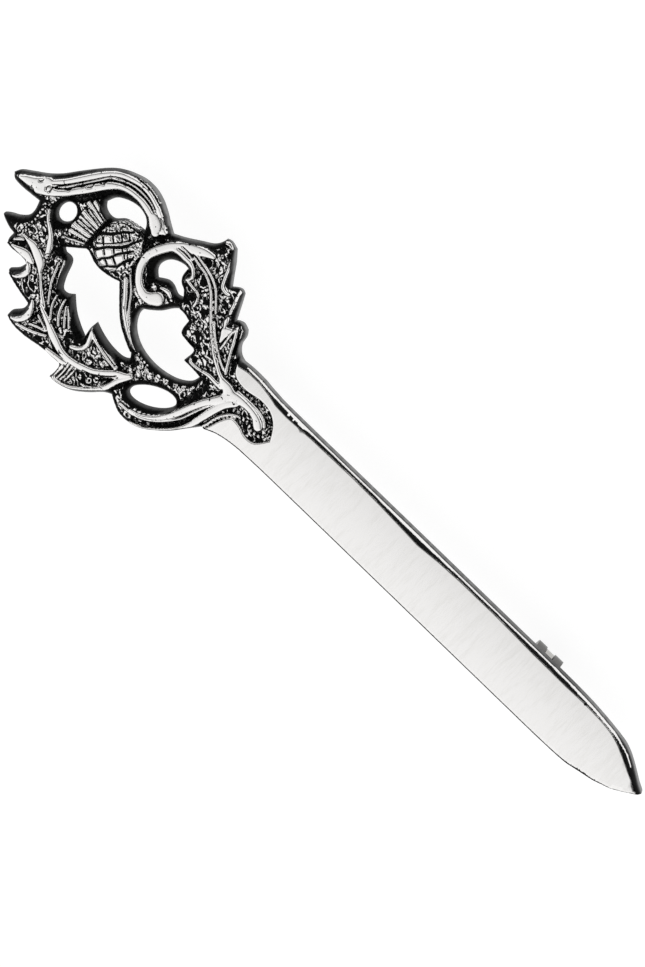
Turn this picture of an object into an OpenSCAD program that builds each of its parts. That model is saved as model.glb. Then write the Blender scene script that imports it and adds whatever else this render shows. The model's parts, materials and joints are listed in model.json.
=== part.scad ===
// Kilt pin: a cast thistle over a plain sword-like blade, with a hinged needle
// and a roll-over catch behind it. Millimetres, +Z out of the decorated face,
// +Y towards the thistle head. The pin lies on its clasp, and the origin is on
// that surface, below the middle of the outline's box.
// Outlines are written in the blade's frame: x across from the blade's centre
// line, y along it from the tip. place() carries that frame to the part's own.

/* [Blade] */
// Width of the blade
blade_w = 6.8; // [6:0.1:7.2]
// Length of the pointed end
point_len = 10; // [8:0.5:12]
// Thickness of the casting at the blade's face
cast_t = 2.4; // [2.2:0.1:2.8]

/* [Thistle head] */
// Floor of the sunk ground, above the back
ground_z = 1.6; // [1.4:0.1:1.7]
// Top of the polished ridges, above the back
ridge_z = 2.7; // [2.6:0.1:3]
// Top of the thistle's bulb, above the back
bulb_z = 3.2; // [3:0.1:3.6]
// How far the side walls slope in from back to ground
draft = 0.2; // [0.1:0.05:0.25]

/* [Clasp] */
// Side step of the clasp from the blade's centre line
clasp_x = 0.85; // [0:0.05:0.9]
// Distance from the tip to the hinge rivet
hinge_y = 60; // [56:0.5:60.5]
// Distance from the tip to the middle of the catch
catch_y = 17.4; // [16:0.1:22]
// Depth of the needle's axis behind the back
needle_depth = 2.6; // [2.6:0.1:3]
// Diameter of the needle's wire
needle_d = 1; // [0.8:0.05:1.05]
// Outer radius of the catch's two rings
ring_r = 2.5; // [2.4:0.1:2.6]
// Turn of the catch lever, 0 unlocked and 80 locked
catch_turn = 0; // [0:5:80]
// Swing of the needle away from the back
needle_swing = 0; // [0:5:100]

/* [Hidden] */
$fn = 48;
steps = 2;
silver = [0.78, 0.78, 0.77];
steel = [0.62, 0.63, 0.65];
grey_metal = [0.5, 0.5, 0.51];

// The outline's box in the blade's frame
head_left = 12.7;
head_right = 12.1;
arch_top = 95.1;
tip_y = 0.1;
axis_x = (head_left - head_right)/2;
mid_y = (arch_top + tip_y)/2;

// Hinge: a bracket with two ears, a needle with a barrel, one rivet
barrel_r = 1.1;
barrel_w = 2.4;
ear_gap = 0.1;
ear_t = 0.55;
ear_r = 1.5;
plate_t = 0.5;
rivet_r = 0.4;
rivet_head_r = 0.85;
rivet_head_t = 0.3;
run_fit = 0.05;
needle_tip_y = 11;
needle_taper = 5;
needle_end_r = 0.06;

// Catch: two slotted rings on feet, a slotted roller with a thumb lever
ring_bore_r = 1.3;
ring_len = 1.15;
ring_mid_gap = 1.2;
ring_slot = 1.4;
foot_w = 3.2;
roller_r = 1.22;
roller_bore_r = 0.75;
roller_slot = 1.2;
band_r = 2.35;
band_w = 1;
lever_r = 3.2;
lever_t = 0.7;
lever_at = 140;
solder = 0.3;

// Height of the back when the pin lies on the edges of the rings' slots
back_z = needle_depth + sqrt(pow(ring_r, 2) - pow(ring_slot/2, 2));

// Outer edge of the back, clockwise in runs that meet at corners
arch_edge = [[0.9, 95.1], [1.8, 94.6], [2.7, 93.5], [3.7, 92.2], [4.8, 91.1], [6.4, 89.8],
  [7.8, 88.6], [9, 87.5], [9.9, 86], [10.4, 84.3], [10.5, 82.9], [10.2, 81.4], [9.5, 80], [8.1, 78]];
ring_edge = [[8.1, 78], [8.8, 76.8], [9.8, 75.2], [10.5, 74.1], [11.1, 73.6], [12, 73.4]];
right_leaf_edge = [
  [[12, 73.4], [12.1, 72.8], [11.8, 71.9], [10.6, 71], [9.4, 70.2], [8.5, 69.5]],
  [[8.5, 69.5], [8.9, 69], [9.2, 68.5], [8.9, 68], [7.8, 67.5], [6.2, 66.7]],
  [[6.2, 66.7], [6.5, 66.3], [6.6, 65.8], [6.3, 65.1], [5.6, 64.6], [4.6, 64.5], [3.8, 63.8], [3.5, 63],
    [3.65, 61.9], [3.6, 60.2], [3.45, 58], [3.4, 55]]];
scroll_edge = [[-3.4, 52], [-3.45, 55], [-3.6, 57.6], [-4, 59.8], [-4.8, 61.4], [-6.2, 62.5], [-7.6, 63.6],
  [-8.8, 64.9], [-9.7, 66.2], [-10.2, 67.6], [-10.2, 69], [-9.8, 70.1], [-9.3, 71]];
left_leaf_edge = [
  [[-9.3, 71], [-9.8, 71.8], [-11, 73], [-12, 74.3], [-12.5, 75.5], [-12.7, 76.6], [-12.6, 77.3]],
  [[-12.6, 77.3], [-11.6, 77.2], [-10.8, 77.5], [-10.8, 78.6], [-11, 80.3], [-11.3, 82.2], [-11.3, 84],
    [-10.9, 85.2], [-10.2, 85.1], [-9.3, 84.4], [-8.4, 84.4]],
  [[-8.4, 84.4], [-8.2, 85.5], [-7.9, 86.8], [-7.5, 88.2], [-7.1, 88.4], [-6.3, 87.7], [-5.3, 87.4]],
  [[-5.3, 87.4], [-5.2, 88.4], [-5.3, 89.6], [-5.2, 90.5], [-4.7, 90.7], [-4, 90.7]],
  [[-4, 90.7], [-3.8, 91.7], [-3.2, 92.9], [-2.6, 92.4], [-2.1, 91.5], [-1.4, 90.8], [-0.5, 90.7], [0.5, 91]],
  [[0.5, 91], [0.4, 92], [0.3, 93.4], [0.4, 94.6], [0.9, 95.1]]];

// Half widths of the pointed end, at parts of point_len from the tip
point_rows = [[0.01, 0], [0.04, 0.07], [0.1, 0.22], [0.2, 0.37], [0.3, 0.52], [0.4, 0.65], [0.5, 0.75],
  [0.6, 0.83], [0.7, 0.89], [0.8, 0.94], [0.9, 0.98], [1, 1]];

// How deep each raised step bites into the one below, and its step in from it
bite = 0.3;
bevel = 0.35;
ridge_step = 0.13;
rim_w = 0.35;
blade_step = 0.05;

// Pierced openings, as the back's own edges
opening_top = [1.8, 87.9, 1.15, 0.95];
opening_oval = [-6.35, 67.6, 2.65, 1.15, 120];
opening_arch = [[5.6, 85.6], [6.6, 85.1], [7.3, 84], [7.6, 82.7], [7.4, 81.6], [6.9, 80.9], [6.2, 80.5],
  [6.05, 81.6], [5.7, 82.8], [4.9, 83.7], [4.8, 84.5], [5.1, 85.2]];
opening_left = [
  [[-1.5, 85.1], [-1.2, 85.5], [-0.8, 85.1], [0, 84.1], [0.4, 83.5], [0.2, 82.8], [-0.1, 82], [-0.2, 81],
    [0, 79.7], [0.3, 78.7]],
  [[0.3, 78.7], [-0.7, 77.8], [-2, 76.6], [-3.1, 75.3], [-4, 73.7], [-4.5, 72.6], [-5.1, 72.3], [-5.5, 73.1],
    [-5.5, 74.6], [-5.2, 76.1], [-4.7, 77.5]],
  [[-4.7, 77.5], [-5.6, 77.6], [-6.8, 77.4], [-6.2, 78.7], [-5.4, 80], [-4.2, 81.3]],
  [[-4.2, 81.3], [-4.7, 82], [-4.6, 82.7], [-3.5, 83.3], [-2, 83.8], [-1.5, 84.3], [-1.5, 85.1]]];
opening_right = [
  [[2.7, 72], [2.2, 72.5], [1.2, 73.2], [0.4, 74.1], [-0.1, 74.8], [-0.8, 74.8], [-1.9, 74.2], [-2.8, 73.1],
    [-3.4, 71.6], [-3.6, 69.8], [-3.4, 68.1], [-2.9, 66.7], [-2.1, 65.7], [-1.1, 65.4]],
  [[-1.1, 65.4], [-1, 66.6], [-1, 67.9], [0.5, 67.8], [0.7, 68.7], [0.9, 69.9], [1.4, 70.3], [2.5, 70.4]],
  [[2.5, 70.4], [2.7, 71.2], [2.7, 72]]];
opening_ring = [
  [[3.5, 76], [4.1, 76.6], [4.8, 76.8], [5.6, 76.5], [6.2, 75.8], [6.5, 74.9], [6.5, 74.3]],
  [[6.5, 74.3], [5.6, 74.2], [5, 73.8], [4.6, 73.1], [3.9, 72.5]],
  [[3.9, 72.5], [3.7, 73.2], [4.1, 74.2], [4.1, 75], [3.5, 76]]];

// Polished ridges: rows of [x, y, width] along each centre line
arch_outer_ridge = [[1.3, 94.3, 0.6], [1.9, 93.2, 1.1], [3.1, 91.9, 1.1], [4.8, 90.3, 0.9], [6.8, 88.7, 0.9],
  [8.7, 87, 0.9], [9.7, 85.2, 0.8], [10, 83.4, 0.7], [9.8, 81.8, 0.7], [9.1, 80.2, 0.6], [8.3, 79.2, 0.5]];
arch_inner_ridge = [[2.2, 91.2, 0.7], [2.9, 90.1, 0.8], [4, 88.9, 0.8], [5.6, 87.6, 0.8], [7.3, 86.5, 0.7],
  [8.3, 85.2, 0.6], [8.7, 83.6, 0.6], [8.6, 82, 0.6], [8.2, 80.6, 0.7], [7.3, 79.4, 0.7]];
ring_band = [[8.9, 74.4, 0.5], [8.4, 75.8, 0.9], [7.4, 77, 1], [6, 78, 0.9], [4.6, 78.3, 0.8],
  [3.1, 77.9, 0.9], [1.9, 76.9, 1], [1.5, 75.7, 1], [1.7, 74.7, 1.3], [2.2, 74.4, 1.3]];
left_midrib = [[-3, 89.4, 0.4], [-3.3, 88.3, 0.6], [-3.8, 86.9, 0.8], [-4.9, 85.7, 0.6], [-6.4, 84.1, 0.4],
  [-7.7, 82.3, 0.5], [-8.7, 80.2, 0.6], [-9.3, 78.2, 0.5], [-9.3, 76.2, 0.5], [-8.9, 74.5, 0.5],
  [-8, 73, 0.6], [-7, 71.8, 0.7], [-6.1, 70.8, 0.5], [-5.3, 69.6, 0.5], [-4.4, 68.1, 0.5], [-3.5, 66.7, 0.5],
  [-2.4, 65.2, 0.5]];
left_vein = [[-6.7, 72.4, 0.4], [-6.3, 74, 0.5], [-6, 75.4, 0.5], [-5.5, 76.8, 0.4]];
cross_vein = [[0.8, 89.3, 0.3], [-0.2, 88.4, 0.4], [-1.3, 87.2, 0.5], [-2.7, 86.3, 0.4], [-4, 85.9, 0.3]];
stem_ridge = [[1.2, 78.3, 0.5], [0, 77.2, 0.5], [-1.4, 76, 0.5], [-2.6, 74.6, 0.5], [-3.4, 73, 0.4],
  [-3.9, 71.4, 0.5], [-4.1, 69.8, 0.6], [-3.9, 68.4, 0.6]];
right_midrib = [[8.5, 74, 0.3], [8, 72.4, 0.4], [7.2, 71.1, 0.5], [6, 69.9, 0.5], [4.7, 68.6, 0.5],
  [3.2, 67.1, 0.5], [1.9, 65.7, 0.6], [1.1, 64.4, 0.6], [0.7, 63.2, 0.6], [0.4, 62, 0.8]];
inner_border = [[-0.3, 67.2, 0.2], [-0.3, 66, 0.3], [-0.1, 64.8, 0.3], [-0.1, 63.5, 0.3], [0, 62.4, 0.5]];
lower_border = [[6.3, 65.7, 0.3], [5, 65, 0.3], [3.3, 64.3, 0.3], [1.6, 63.6, 0.4], [0.8, 62.8, 0.4]];
scroll_inner_ridge = [[-8.7, 68.6, 0.3], [-8.5, 67.3, 0.4], [-7.7, 66, 0.6], [-6.5, 64.9, 0.7],
  [-4.8, 64.1, 0.6], [-3, 63.4, 0.6], [-1.6, 62.5, 0.7], [-0.4, 61.6, 0.8]];
scroll_outer_ridge = [[-9.6, 68.6, 0.3], [-9.4, 67, 0.4], [-8.6, 65.6, 0.4], [-7.4, 64.3, 0.4],
  [-5.8, 63, 0.5], [-4.2, 62.4, 0.6], [-2.6, 61.9, 0.7], [-1.1, 61.3, 0.8], [0, 60.6, 0.9]];
tongue = [[0.1, 61.8, 1.2], [0.3, 60.4, 0.8], [0.4, 59.2, 0.7], [0.1, 58.1, 0.9], [-0.3, 57.4, 1],
  [-0.5, 57, 0.4]];
RIDGES = [arch_outer_ridge, arch_inner_ridge, ring_band, left_midrib, left_vein, cross_vein, stem_ridge,
  right_midrib, inner_border, lower_border, scroll_inner_ridge, scroll_outer_ridge, tongue];

// Sunk ground that frames the tongue on the blade
moat = [
  [[-5.4, 61.7], [-4, 61], [-2.6, 60.5], [-1.6, 59.8], [-1.6, 58.6], [-2, 57.4], [-1.8, 56.2], [-0.5, 55.2]],
  [[-0.5, 55.2], [0.9, 56.1], [1.7, 57.3], [1.9, 58.8], [1.6, 60.6], [1.7, 62], [2.3, 63], [4, 63.8]]];

// Thistle: bulb as [x, y, half width, half height], tuft as a fan of bristles
bulb = [3.2, 81.2, 3, 2.6];
tuft_foot = [2.9, 83.9, 1.7];
tuft_head = [2.4, 86.5, 2.7];
bristles = 8;
bristle_w = 0.45;
stud_dx = 0.71;
stud_dy = 0.6;
stud_side = 0.75;
stud_field = 0.6;
stud_rise = 0.1;
stud_turn = 40;
dome_r = 6;

// Points of a curve through p, with columns beyond x and y carried along
function hermite(a, b, c, d, t) =
  0.5*((2*b) + (c - a)*t + (2*a - 5*b + 4*c - d)*t*t + (3*b - a - 3*c + d)*t*t*t);
function curve(p, n = steps) = [
  for (i = [0:len(p) - 2]) for (k = [0:n - 1])
    hermite(p[max(i - 1, 0)], p[i], p[i + 1], p[min(i + 2, len(p) - 1)], k/n),
  p[len(p) - 1]];
function loop(p, n = steps) = [
  for (i = [0:len(p) - 1]) for (k = [0:n - 1])
    hermite(p[(i + len(p) - 1)%len(p)], p[i], p[(i + 1)%len(p)], p[(i + 2)%len(p)], k/n)];
function runs(list) = [for (r = list) let (c = curve(r)) for (i = [0:len(c) - 2]) c[i]];
function side_dir(c, i) = let (d = c[min(i + 1, len(c) - 1)] - c[max(i - 1, 0)], l = norm([d[0], d[1]]))
  [-d[1]/l, d[0]/l];
function ribbon(rows) = let (c = curve(rows), n = len(c)) concat(
  [for (i = [0:n - 1]) [c[i][0], c[i][1]] + side_dir(c, i)*c[i][2]/2],
  [for (i = [n - 1:-1:0]) [c[i][0], c[i][1]] - side_dir(c, i)*c[i][2]/2]);

function point_edge(side) = [for (r = point_rows) [side*r[1]*blade_w/2, r[0]*point_len]];
function back_edge() = concat(
  runs(concat([arch_edge, ring_edge], right_leaf_edge)),
  [for (i = [len(point_rows) - 1:-1:0]) point_edge(1)[i]],
  [for (i = [1:len(point_rows) - 1]) point_edge(-1)[i]],
  runs(concat([scroll_edge], left_leaf_edge)));

module place() {
  translate([axis_x, -mid_y, back_z]) children();
}

module ellipse_at(e) {
  translate([e[0], e[1]])
    rotate(len(e) > 4 ? e[4] : 0)
      polygon([for (a = [0:15:345]) [e[2]*cos(a), e[3]*sin(a)]]);
}

module openings() {
  ellipse_at(opening_top);
  ellipse_at(opening_oval);
  polygon(loop(opening_arch));
  polygon(runs(opening_left));
  polygon(runs(opening_right));
  polygon(runs(opening_ring));
}

module plan() {
  difference() {
    polygon(back_edge());
    openings();
  }
}

// The blade's side of the moat
module blade_zone() {
  polygon(concat([[-9, -1], [-9, 61.7]], runs(moat), [[9, 63.8], [9, -1]]));
}

module blade_plan(inset) {
  difference() {
    intersection() {
      offset(delta = -inset) plan();
      blade_zone();
    }
    moat_plan();
  }
}

module moat_plan() {
  polygon(concat(runs(moat), [[4, 66], [-5.4, 66]]));
}

module ridge_plan(inset) {
  intersection() {
    offset(delta = -inset) {
      for (r = RIDGES) polygon(ribbon(r));
    }
    offset(delta = -draft) plan();
  }
}

module rim_plan() {
  difference() {
    offset(delta = -draft) plan();
    offset(delta = -draft - rim_w) plan();
    blade_zone();
  }
}

// A flat layer of the casting: its shapes are joined first, then raised
module slab(low, high) {
  translate([0, 0, low]) linear_extrude(high - low) offset(delta = 0) children();
}

function dome_z(d) = bulb_z - dome_r + sqrt(pow(dome_r, 2) - pow(d, 2));

module bulb_dome() {
  intersection() {
    translate([0, 0, ground_z - bite]) linear_extrude(bulb_z) ellipse_at(bulb);
    translate([bulb[0], bulb[1], bulb_z - dome_r]) sphere(dome_r);
  }
}

// Diamond studs in crossed rows over the bulb
module bulb_studs() {
  for (i = [-2:2]) for (j = [-2:2]) {
    spot = [(i - j)*stud_dx, (i + j)*stud_dy];
    if (pow(spot[0]/bulb[2], 2) + pow(spot[1]/bulb[3], 2) < stud_field)
      translate([bulb[0] + spot[0], bulb[1] + spot[1], ground_z])
        linear_extrude(dome_z(norm(spot)) + stud_rise - ground_z)
          rotate(stud_turn) square(stud_side, center = true);
  }
}

// Centre line of one bristle of the tuft
function bristle(i) = let (s = 2*i/(bristles - 1) - 1)
  [[tuft_foot[0] + s*tuft_foot[2], tuft_foot[1], bristle_w*0.6],
   [tuft_head[0] + s*tuft_head[2], tuft_head[1] + 0.15*(i%2), bristle_w]];

module tuft_plan() {
  for (i = [0:bristles - 1]) polygon(ribbon(bristle(i)));
}

module hinge_bracket() {
  outer = barrel_w/2 + ear_gap + ear_t;
  translate([clasp_x, hinge_y, 0]) {
    translate([-outer, -2.4, -plate_t]) cube([2*outer, 4, plate_t + solder]);
    for (s = [-1, 1]) translate([s > 0 ? outer - ear_t : -outer, 0, 0]) {
      translate([0, -ear_r, -needle_depth]) cube([ear_t, 2*ear_r, needle_depth]);
      translate([0, 0, -needle_depth]) rotate([0, 90, 0]) cylinder(r = ear_r, h = ear_t);
    }
  }
}

module rivet_bore() {
  outer = barrel_w/2 + ear_gap + ear_t;
  translate([clasp_x - outer - 1, hinge_y, -needle_depth])
    rotate([0, 90, 0]) cylinder(r = rivet_r + 0.03, h = 2*outer + 2);
}

// One ring of the catch on its foot, starting at y and running towards the head
module catch_ring(y) {
  translate([clasp_x, y, -needle_depth]) {
    difference() {
      union() {
        rotate([-90, 0, 0]) cylinder(r = ring_r, h = ring_len);
        translate([-foot_w/2, 0, 0]) cube([foot_w, ring_len, needle_depth + solder]);
      }
      translate([0, -1, 0]) rotate([-90, 0, 0]) cylinder(r = ring_bore_r, h = ring_len + 2);
      translate([-ring_slot/2, -1, -ring_r - 1]) cube([ring_slot, ring_len + 2, ring_r + 1]);
    }
  }
}

module casting() {
  color(silver) place() difference() {
    union() {
      slab(0, ground_z) plan();
      slab(ground_z - bite, cast_t - bevel) { rim_plan(); ridge_plan(0); tuft_plan(); }
      slab(cast_t - bevel - bite, ridge_z) ridge_plan(ridge_step);
      slab(ground_z - bite, cast_t - bevel) blade_plan(blade_step);
      slab(cast_t - bevel - bite, cast_t) blade_plan(bevel);
      bulb_dome();
      bulb_studs();
      hinge_bracket();
      catch_ring(catch_y - ring_mid_gap/2 - ring_len);
      catch_ring(catch_y + ring_mid_gap/2);
    }
    rivet_bore();
  }
}

// Barrel, tapered wire and point, turned about the rivet by needle_swing
module needle() {
  color(steel) place() translate([clasp_x, hinge_y, -needle_depth]) rotate([needle_swing, 0, 0]) {
    difference() {
      union() {
        translate([-barrel_w/2, 0, 0]) rotate([0, 90, 0]) cylinder(r = barrel_r, h = barrel_w);
        rotate([90, 0, 0]) cylinder(d = needle_d, h = hinge_y - needle_tip_y - needle_taper);
      }
      translate([-barrel_w, 0, 0]) rotate([0, 90, 0]) cylinder(r = rivet_r + run_fit, h = 2*barrel_w);
    }
    translate([0, -(hinge_y - needle_tip_y - needle_taper), 0]) rotate([90, 0, 0])
      cylinder(r1 = needle_d/2, r2 = needle_end_r, h = needle_taper);
  }
}

module hinge_rivet() {
  outer = barrel_w/2 + ear_gap + ear_t + 0.03;
  color(grey_metal) place() translate([clasp_x, hinge_y, -needle_depth]) rotate([0, 90, 0]) {
    translate([0, 0, -outer]) cylinder(r = rivet_r, h = 2*outer);
    for (s = [-1, 1]) translate([0, 0, s > 0 ? outer : -outer - rivet_head_t])
      cylinder(r = rivet_head_r, h = rivet_head_t);
  }
}

// Slotted sleeve with a wider band between the rings and a thumb lever on the band
module catch_roller() {
  sleeve = 2*ring_len + ring_mid_gap + 0.1;
  color(grey_metal) place() translate([clasp_x, catch_y, -needle_depth]) rotate([0, -catch_turn, 0])
    difference() {
      union() {
        translate([0, -sleeve/2, 0]) rotate([-90, 0, 0]) cylinder(r = roller_r, h = sleeve);
        translate([0, -band_w/2, 0]) rotate([-90, 0, 0]) cylinder(r = band_r, h = band_w);
        rotate([0, -lever_at, 0]) translate([0, -band_w/2, -lever_t/2]) cube([lever_r, band_w, lever_t]);
      }
      translate([0, -sleeve, 0]) rotate([-90, 0, 0]) cylinder(r = roller_bore_r, h = 2*sleeve);
      translate([-roller_slot/2, -sleeve, -band_r - 1]) cube([roller_slot, 2*sleeve, band_r + 1]);
    }
}

casting();
needle();
hinge_rivet();
catch_roller();
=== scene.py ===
"""A thistle kilt pin: the looks of its casting and clasp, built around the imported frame.

The pin lies on its clasp with the decorated face up. Flat shapes are written in the blade's frame,
in millimetres: x across from the blade's centre line, y along it from the tip. Heights are above
the casting's flat back. to_frame() carries them to the frame's metres.
"""

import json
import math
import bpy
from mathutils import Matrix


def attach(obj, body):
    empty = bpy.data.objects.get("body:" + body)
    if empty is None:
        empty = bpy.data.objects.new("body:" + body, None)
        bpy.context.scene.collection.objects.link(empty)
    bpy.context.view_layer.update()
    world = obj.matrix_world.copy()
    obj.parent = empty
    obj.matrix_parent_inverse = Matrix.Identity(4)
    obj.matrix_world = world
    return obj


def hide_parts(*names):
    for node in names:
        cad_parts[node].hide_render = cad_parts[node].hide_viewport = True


bl_info = {
    "name": "Thistle kilt pin",
    "version": (1, 0, 0),
    "blender": (4, 5, 0),
    "location": "View3D > Sidebar > Kilt pin",
    "description": "Builds a cast thistle kilt pin with its hinged needle and roll-over catch",
    "category": "Add Mesh",
}

import bmesh
import bpy
import numpy as np
from bpy.props import FloatProperty, FloatVectorProperty, PointerProperty
from bpy.types import Operator, Panel, PropertyGroup
from mathutils import Matrix, Vector, noise
from mathutils.geometry import delaunay_2d_cdt

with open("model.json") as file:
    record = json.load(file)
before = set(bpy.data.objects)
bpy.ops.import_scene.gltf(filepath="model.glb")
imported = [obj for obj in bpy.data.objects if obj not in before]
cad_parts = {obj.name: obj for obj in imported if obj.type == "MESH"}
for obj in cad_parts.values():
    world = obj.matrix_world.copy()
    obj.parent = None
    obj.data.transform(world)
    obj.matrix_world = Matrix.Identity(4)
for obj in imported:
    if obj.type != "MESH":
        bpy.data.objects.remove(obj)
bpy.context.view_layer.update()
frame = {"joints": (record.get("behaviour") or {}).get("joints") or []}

MM = 0.001
JOINTS = {joint["name"]: joint for joint in frame["joints"]}
HINGE = np.array(JOINTS["pin_hinge"]["pos_m"]) / MM
CATCH = np.array(JOINTS["catch_turn"]["pos_m"]) / MM

# The blade's frame in the part's frame: the outline's box is centred on the origin
AXIS_X = 0.3
MID_Y = 47.6
NEEDLE_DEPTH = 2.6
BACK_Z = HINGE[2] + NEEDLE_DEPTH
FACE = 2.4
HINGE_AT = HINGE - (AXIS_X, -MID_Y, BACK_Z)
CATCH_AT = CATCH - (AXIS_X, -MID_Y, BACK_Z)

# Fixed sizes of the clasp, in millimetres
EAR_GAP = 0.1
EAR_R = 1.5
PLATE_T = 0.5
PLATE_FROM = -2.4
PLATE_TO = 1.6
SUNK = 0.1
RIVET_R = 0.4
RIVET_PLAY = 0.03
RIVET_HEAD_R = 0.85
RIVET_HEAD_T = 0.3
BARREL_R = 1.1
BARREL_PLAY = 0.05
TAPER = 5.0
NEEDLE_END_R = 0.06
RING_BORE_R = 1.3
RING_SLOT = 1.4
RING_MID_GAP = 1.2
FOOT_W = 3.2
ROLLER_R = 1.22
ROLLER_BORE_R = 0.75
ROLLER_SLOT = 1.2
BAND_R = 2.35
BAND_W = 1.0
LEVER_T = 0.7
LEVER_AT = 140
RIBS = 6
RIB_SPAN = 0.62
RIB_DEPTH = 0.1
QUARTER_TURN = Matrix.Rotation(math.radians(90), 4, "Z")

# Spacing of the casting's points, in millimetres: along the edges, over the blade from the tip up to
# HEAD_FROM, beside the blade's edges, and over the back. The head's own is a setting.
EDGE_STEP = 0.11
BLADE_STEP = 0.35
HEAD_FROM = 54.0
EDGING_STEP = 0.1
BACK_STEP = 0.5
# Points of the rings that are closer to each other than this are thinned out
LEAST_STEP = 0.035
# Where the rings of points beside an edge lie, as parts of its wall
RING_PARTS = np.array([0.1, 0.32, 0.62, 1.0])

# How deep the relief's hollows and grooves go, how high its ropes and teeth stand, how wide the sides
# of its ridges are, and how deep the lines are that are cut over the bulb
HOLLOW = 0.25
STAND = 0.25
RIDGE_SIDE = 0.24
BULB_CUT = 0.2
# Foot of the bulb's dome and of the bristles, how far the bristles stand up, and how wide their threads
# are
THISTLE_FOOT = 1.9
STRAND = 0.62
THREAD = 0.2
# The blade's lip at the moat, how much its face is crowned and over what half width, and how far its
# left edge is eased
LIP = 0.3
CROWNING = 0.03
CROWNED_HALF = 3.4
EASING = 0.12

# Angles of a corner that stays sharp, in degrees: on the casting and on the clasp
CAST_CORNER = 65
CLASP_CORNER = 40
# An oval opening's crown and the painted light on its sides
OVAL_CROWN = 2.3
OVAL_SIDE_LIGHT = 0.25

# The photo's frame: its size in pixels, its scale, the blade's way up in it, and the point in its middle
IMAGE_SIZE = (645, 967)
PIXELS_PER_MM = 9.33
BLADE_UP = (-0.7193, 0.6947)
VIEW_MIDDLE = (0.165, 47.9)
SENSOR = 36
FLOOR_HALF = 3.0
FLOOR_DROP = 0.00002
# How far the dark gap between the soft boxes fades on its left and on its right
LEFT_FADE = math.radians(24)
RIGHT_FADE = math.radians(10)


def to_frame(points):
    """Blade frame in millimetres to the part's frame in metres."""
    return (np.asarray(points, float) + (AXIS_X, -MID_Y, BACK_Z)) * MM


# The blade's right edge, from the moat to where the point begins: rows of [x, y]
BLADE_RIGHT = [[3.5, 63], [3.6, 61.9], [3.6, 60.2], [3.4, 58], [3.3, 55], [3.3, 40]]
# Shapes of the casting. Each run of the edge is (wall, crown, rows of [x, y]): wall is how far the
# side slopes in from back to face, and a high crown makes the side steep with a crisp top edge.
EDGE = [
    (0.3, 2.5, [[0.9, 95.1], [1.65, 94.65], [2.45, 93.55], [3.4, 92.2], [4.45, 91.1], [5.8, 90.05],
        [7.05, 89.05]]),
    (0.18, 2.5, [[7.05, 89.05], [8.2, 88.05], [9.05, 87.1], [9.7, 86], [10.1, 85]]),
    (0.06, 3, [[10.1, 85], [10.35, 84.1], [10.4, 83], [10.25, 82], [9.9, 81]]),
    (0.3, 2.5, [[9.9, 81], [9.35, 80], [8.7, 79], [8.1, 78]]),
    (0.4, 2.5, [[8.1, 78], [8.7, 76.8], [9.7, 75.2], [10.4, 74.1], [11.1, 73.6], [11.8, 73.4]]),
    (0.1, 3, [[11.8, 73.4], [11.95, 72.8], [11.7, 71.9]]),
    (0.4, 2.5, [[11.7, 71.9], [10.6, 71], [9.4, 70.2], [8.4, 69.5]]),
    (0.12, 3, [[8.4, 69.5], [8.8, 69], [9, 68.5], [8.8, 68]]),
    (0.4, 2.5, [[8.8, 68], [7.8, 67.5], [6.1, 66.7]]),
    (0.25, 2.5, [[6.1, 66.7], [6.35, 66.3], [6.45, 65.8], [6.2, 65.1]]),
    (0.4, 2.5, [[6.2, 65.1], [5.6, 64.7], [4.6, 64.5], [3.8, 63.8], [3.5, 63]]),
    (0.1, 4, BLADE_RIGHT),
    (0.05, 4, "point"),
    (0.05, 4, [[-3.57, 40], [-3.57, 52], [-3.6, 55], [-3.7, 57.6], [-4.1, 59.8], [-4.8, 61.4]]),
    (0.4, 2.2, [[-4.8, 61.4], [-6.2, 62.5], [-7.6, 63.6], [-8.8, 64.9], [-9.7, 66.2], [-10.2, 67.6],
        [-10.2, 69], [-9.8, 70.1], [-9.3, 71]]),
    (0.55, 2.2, [[-9.3, 71], [-9.8, 71.8], [-11, 73], [-12, 74.3], [-12.5, 75.5], [-12.7, 76.6],
        [-12.6, 77.3]]),
    (0.35, 2.5, [[-12.6, 77.3], [-11.6, 77.2], [-10.8, 77.5], [-10.8, 78.6], [-11, 80.3], [-11.3, 82.2],
        [-11.3, 84], [-10.9, 85.2]]),
    (0.8, 2, [[-10.9, 85.2], [-10.2, 85.1], [-9.3, 84.4], [-8.4, 84.4]]),
    (0.35, 2.5, [[-8.4, 84.4], [-8.2, 85.5], [-7.9, 86.8], [-7.5, 88.2]]),
    (0.8, 2, [[-7.5, 88.2], [-7.1, 88.4], [-6.3, 87.7], [-5.3, 87.4]]),
    (0.35, 2.5, [[-5.3, 87.4], [-5.2, 88.4], [-5.3, 89.6], [-5.2, 90.5]]),
    (0.7, 2, [[-5.2, 90.5], [-4.7, 90.7], [-4, 90.7]]),
    (0.6, 2, [[-4, 90.7], [-3.8, 91.7], [-3.2, 92.9], [-2.6, 92.4], [-2.1, 91.5], [-1.4, 90.8],
        [-0.5, 90.7], [0.5, 91]]),
    (0.6, 2, [[0.5, 91], [0.4, 92], [0.3, 93.4], [0.4, 94.6], [0.9, 95.1]]),
]

# Sides that face this way get painted light, so they are painted paler
LIT_SIDE_RIGHT = (0.8, -0.6)
LIT_SIDE_DOWN = (-0.35, -0.94)

# Shares of that painted side light along the pin, as rows of y and share
SIDE_LIGHT_ROWS = [
    [0, 1.3], [6, 1.2], [10.5, 0.85], [13.5, 0.35], [17, 0.28], [21, 0.65], [40, 0.8], [56, 0.85],
    [60, 1],
]
# Where the painted side light is weaker: x, y, how far from there, and the share of it that is left
SIDE_LIGHT_SPOTS = [[8.3, 87.5, 2.3, 0.1], [10.3, 83.5, 2.6, 0.8]]

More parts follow.
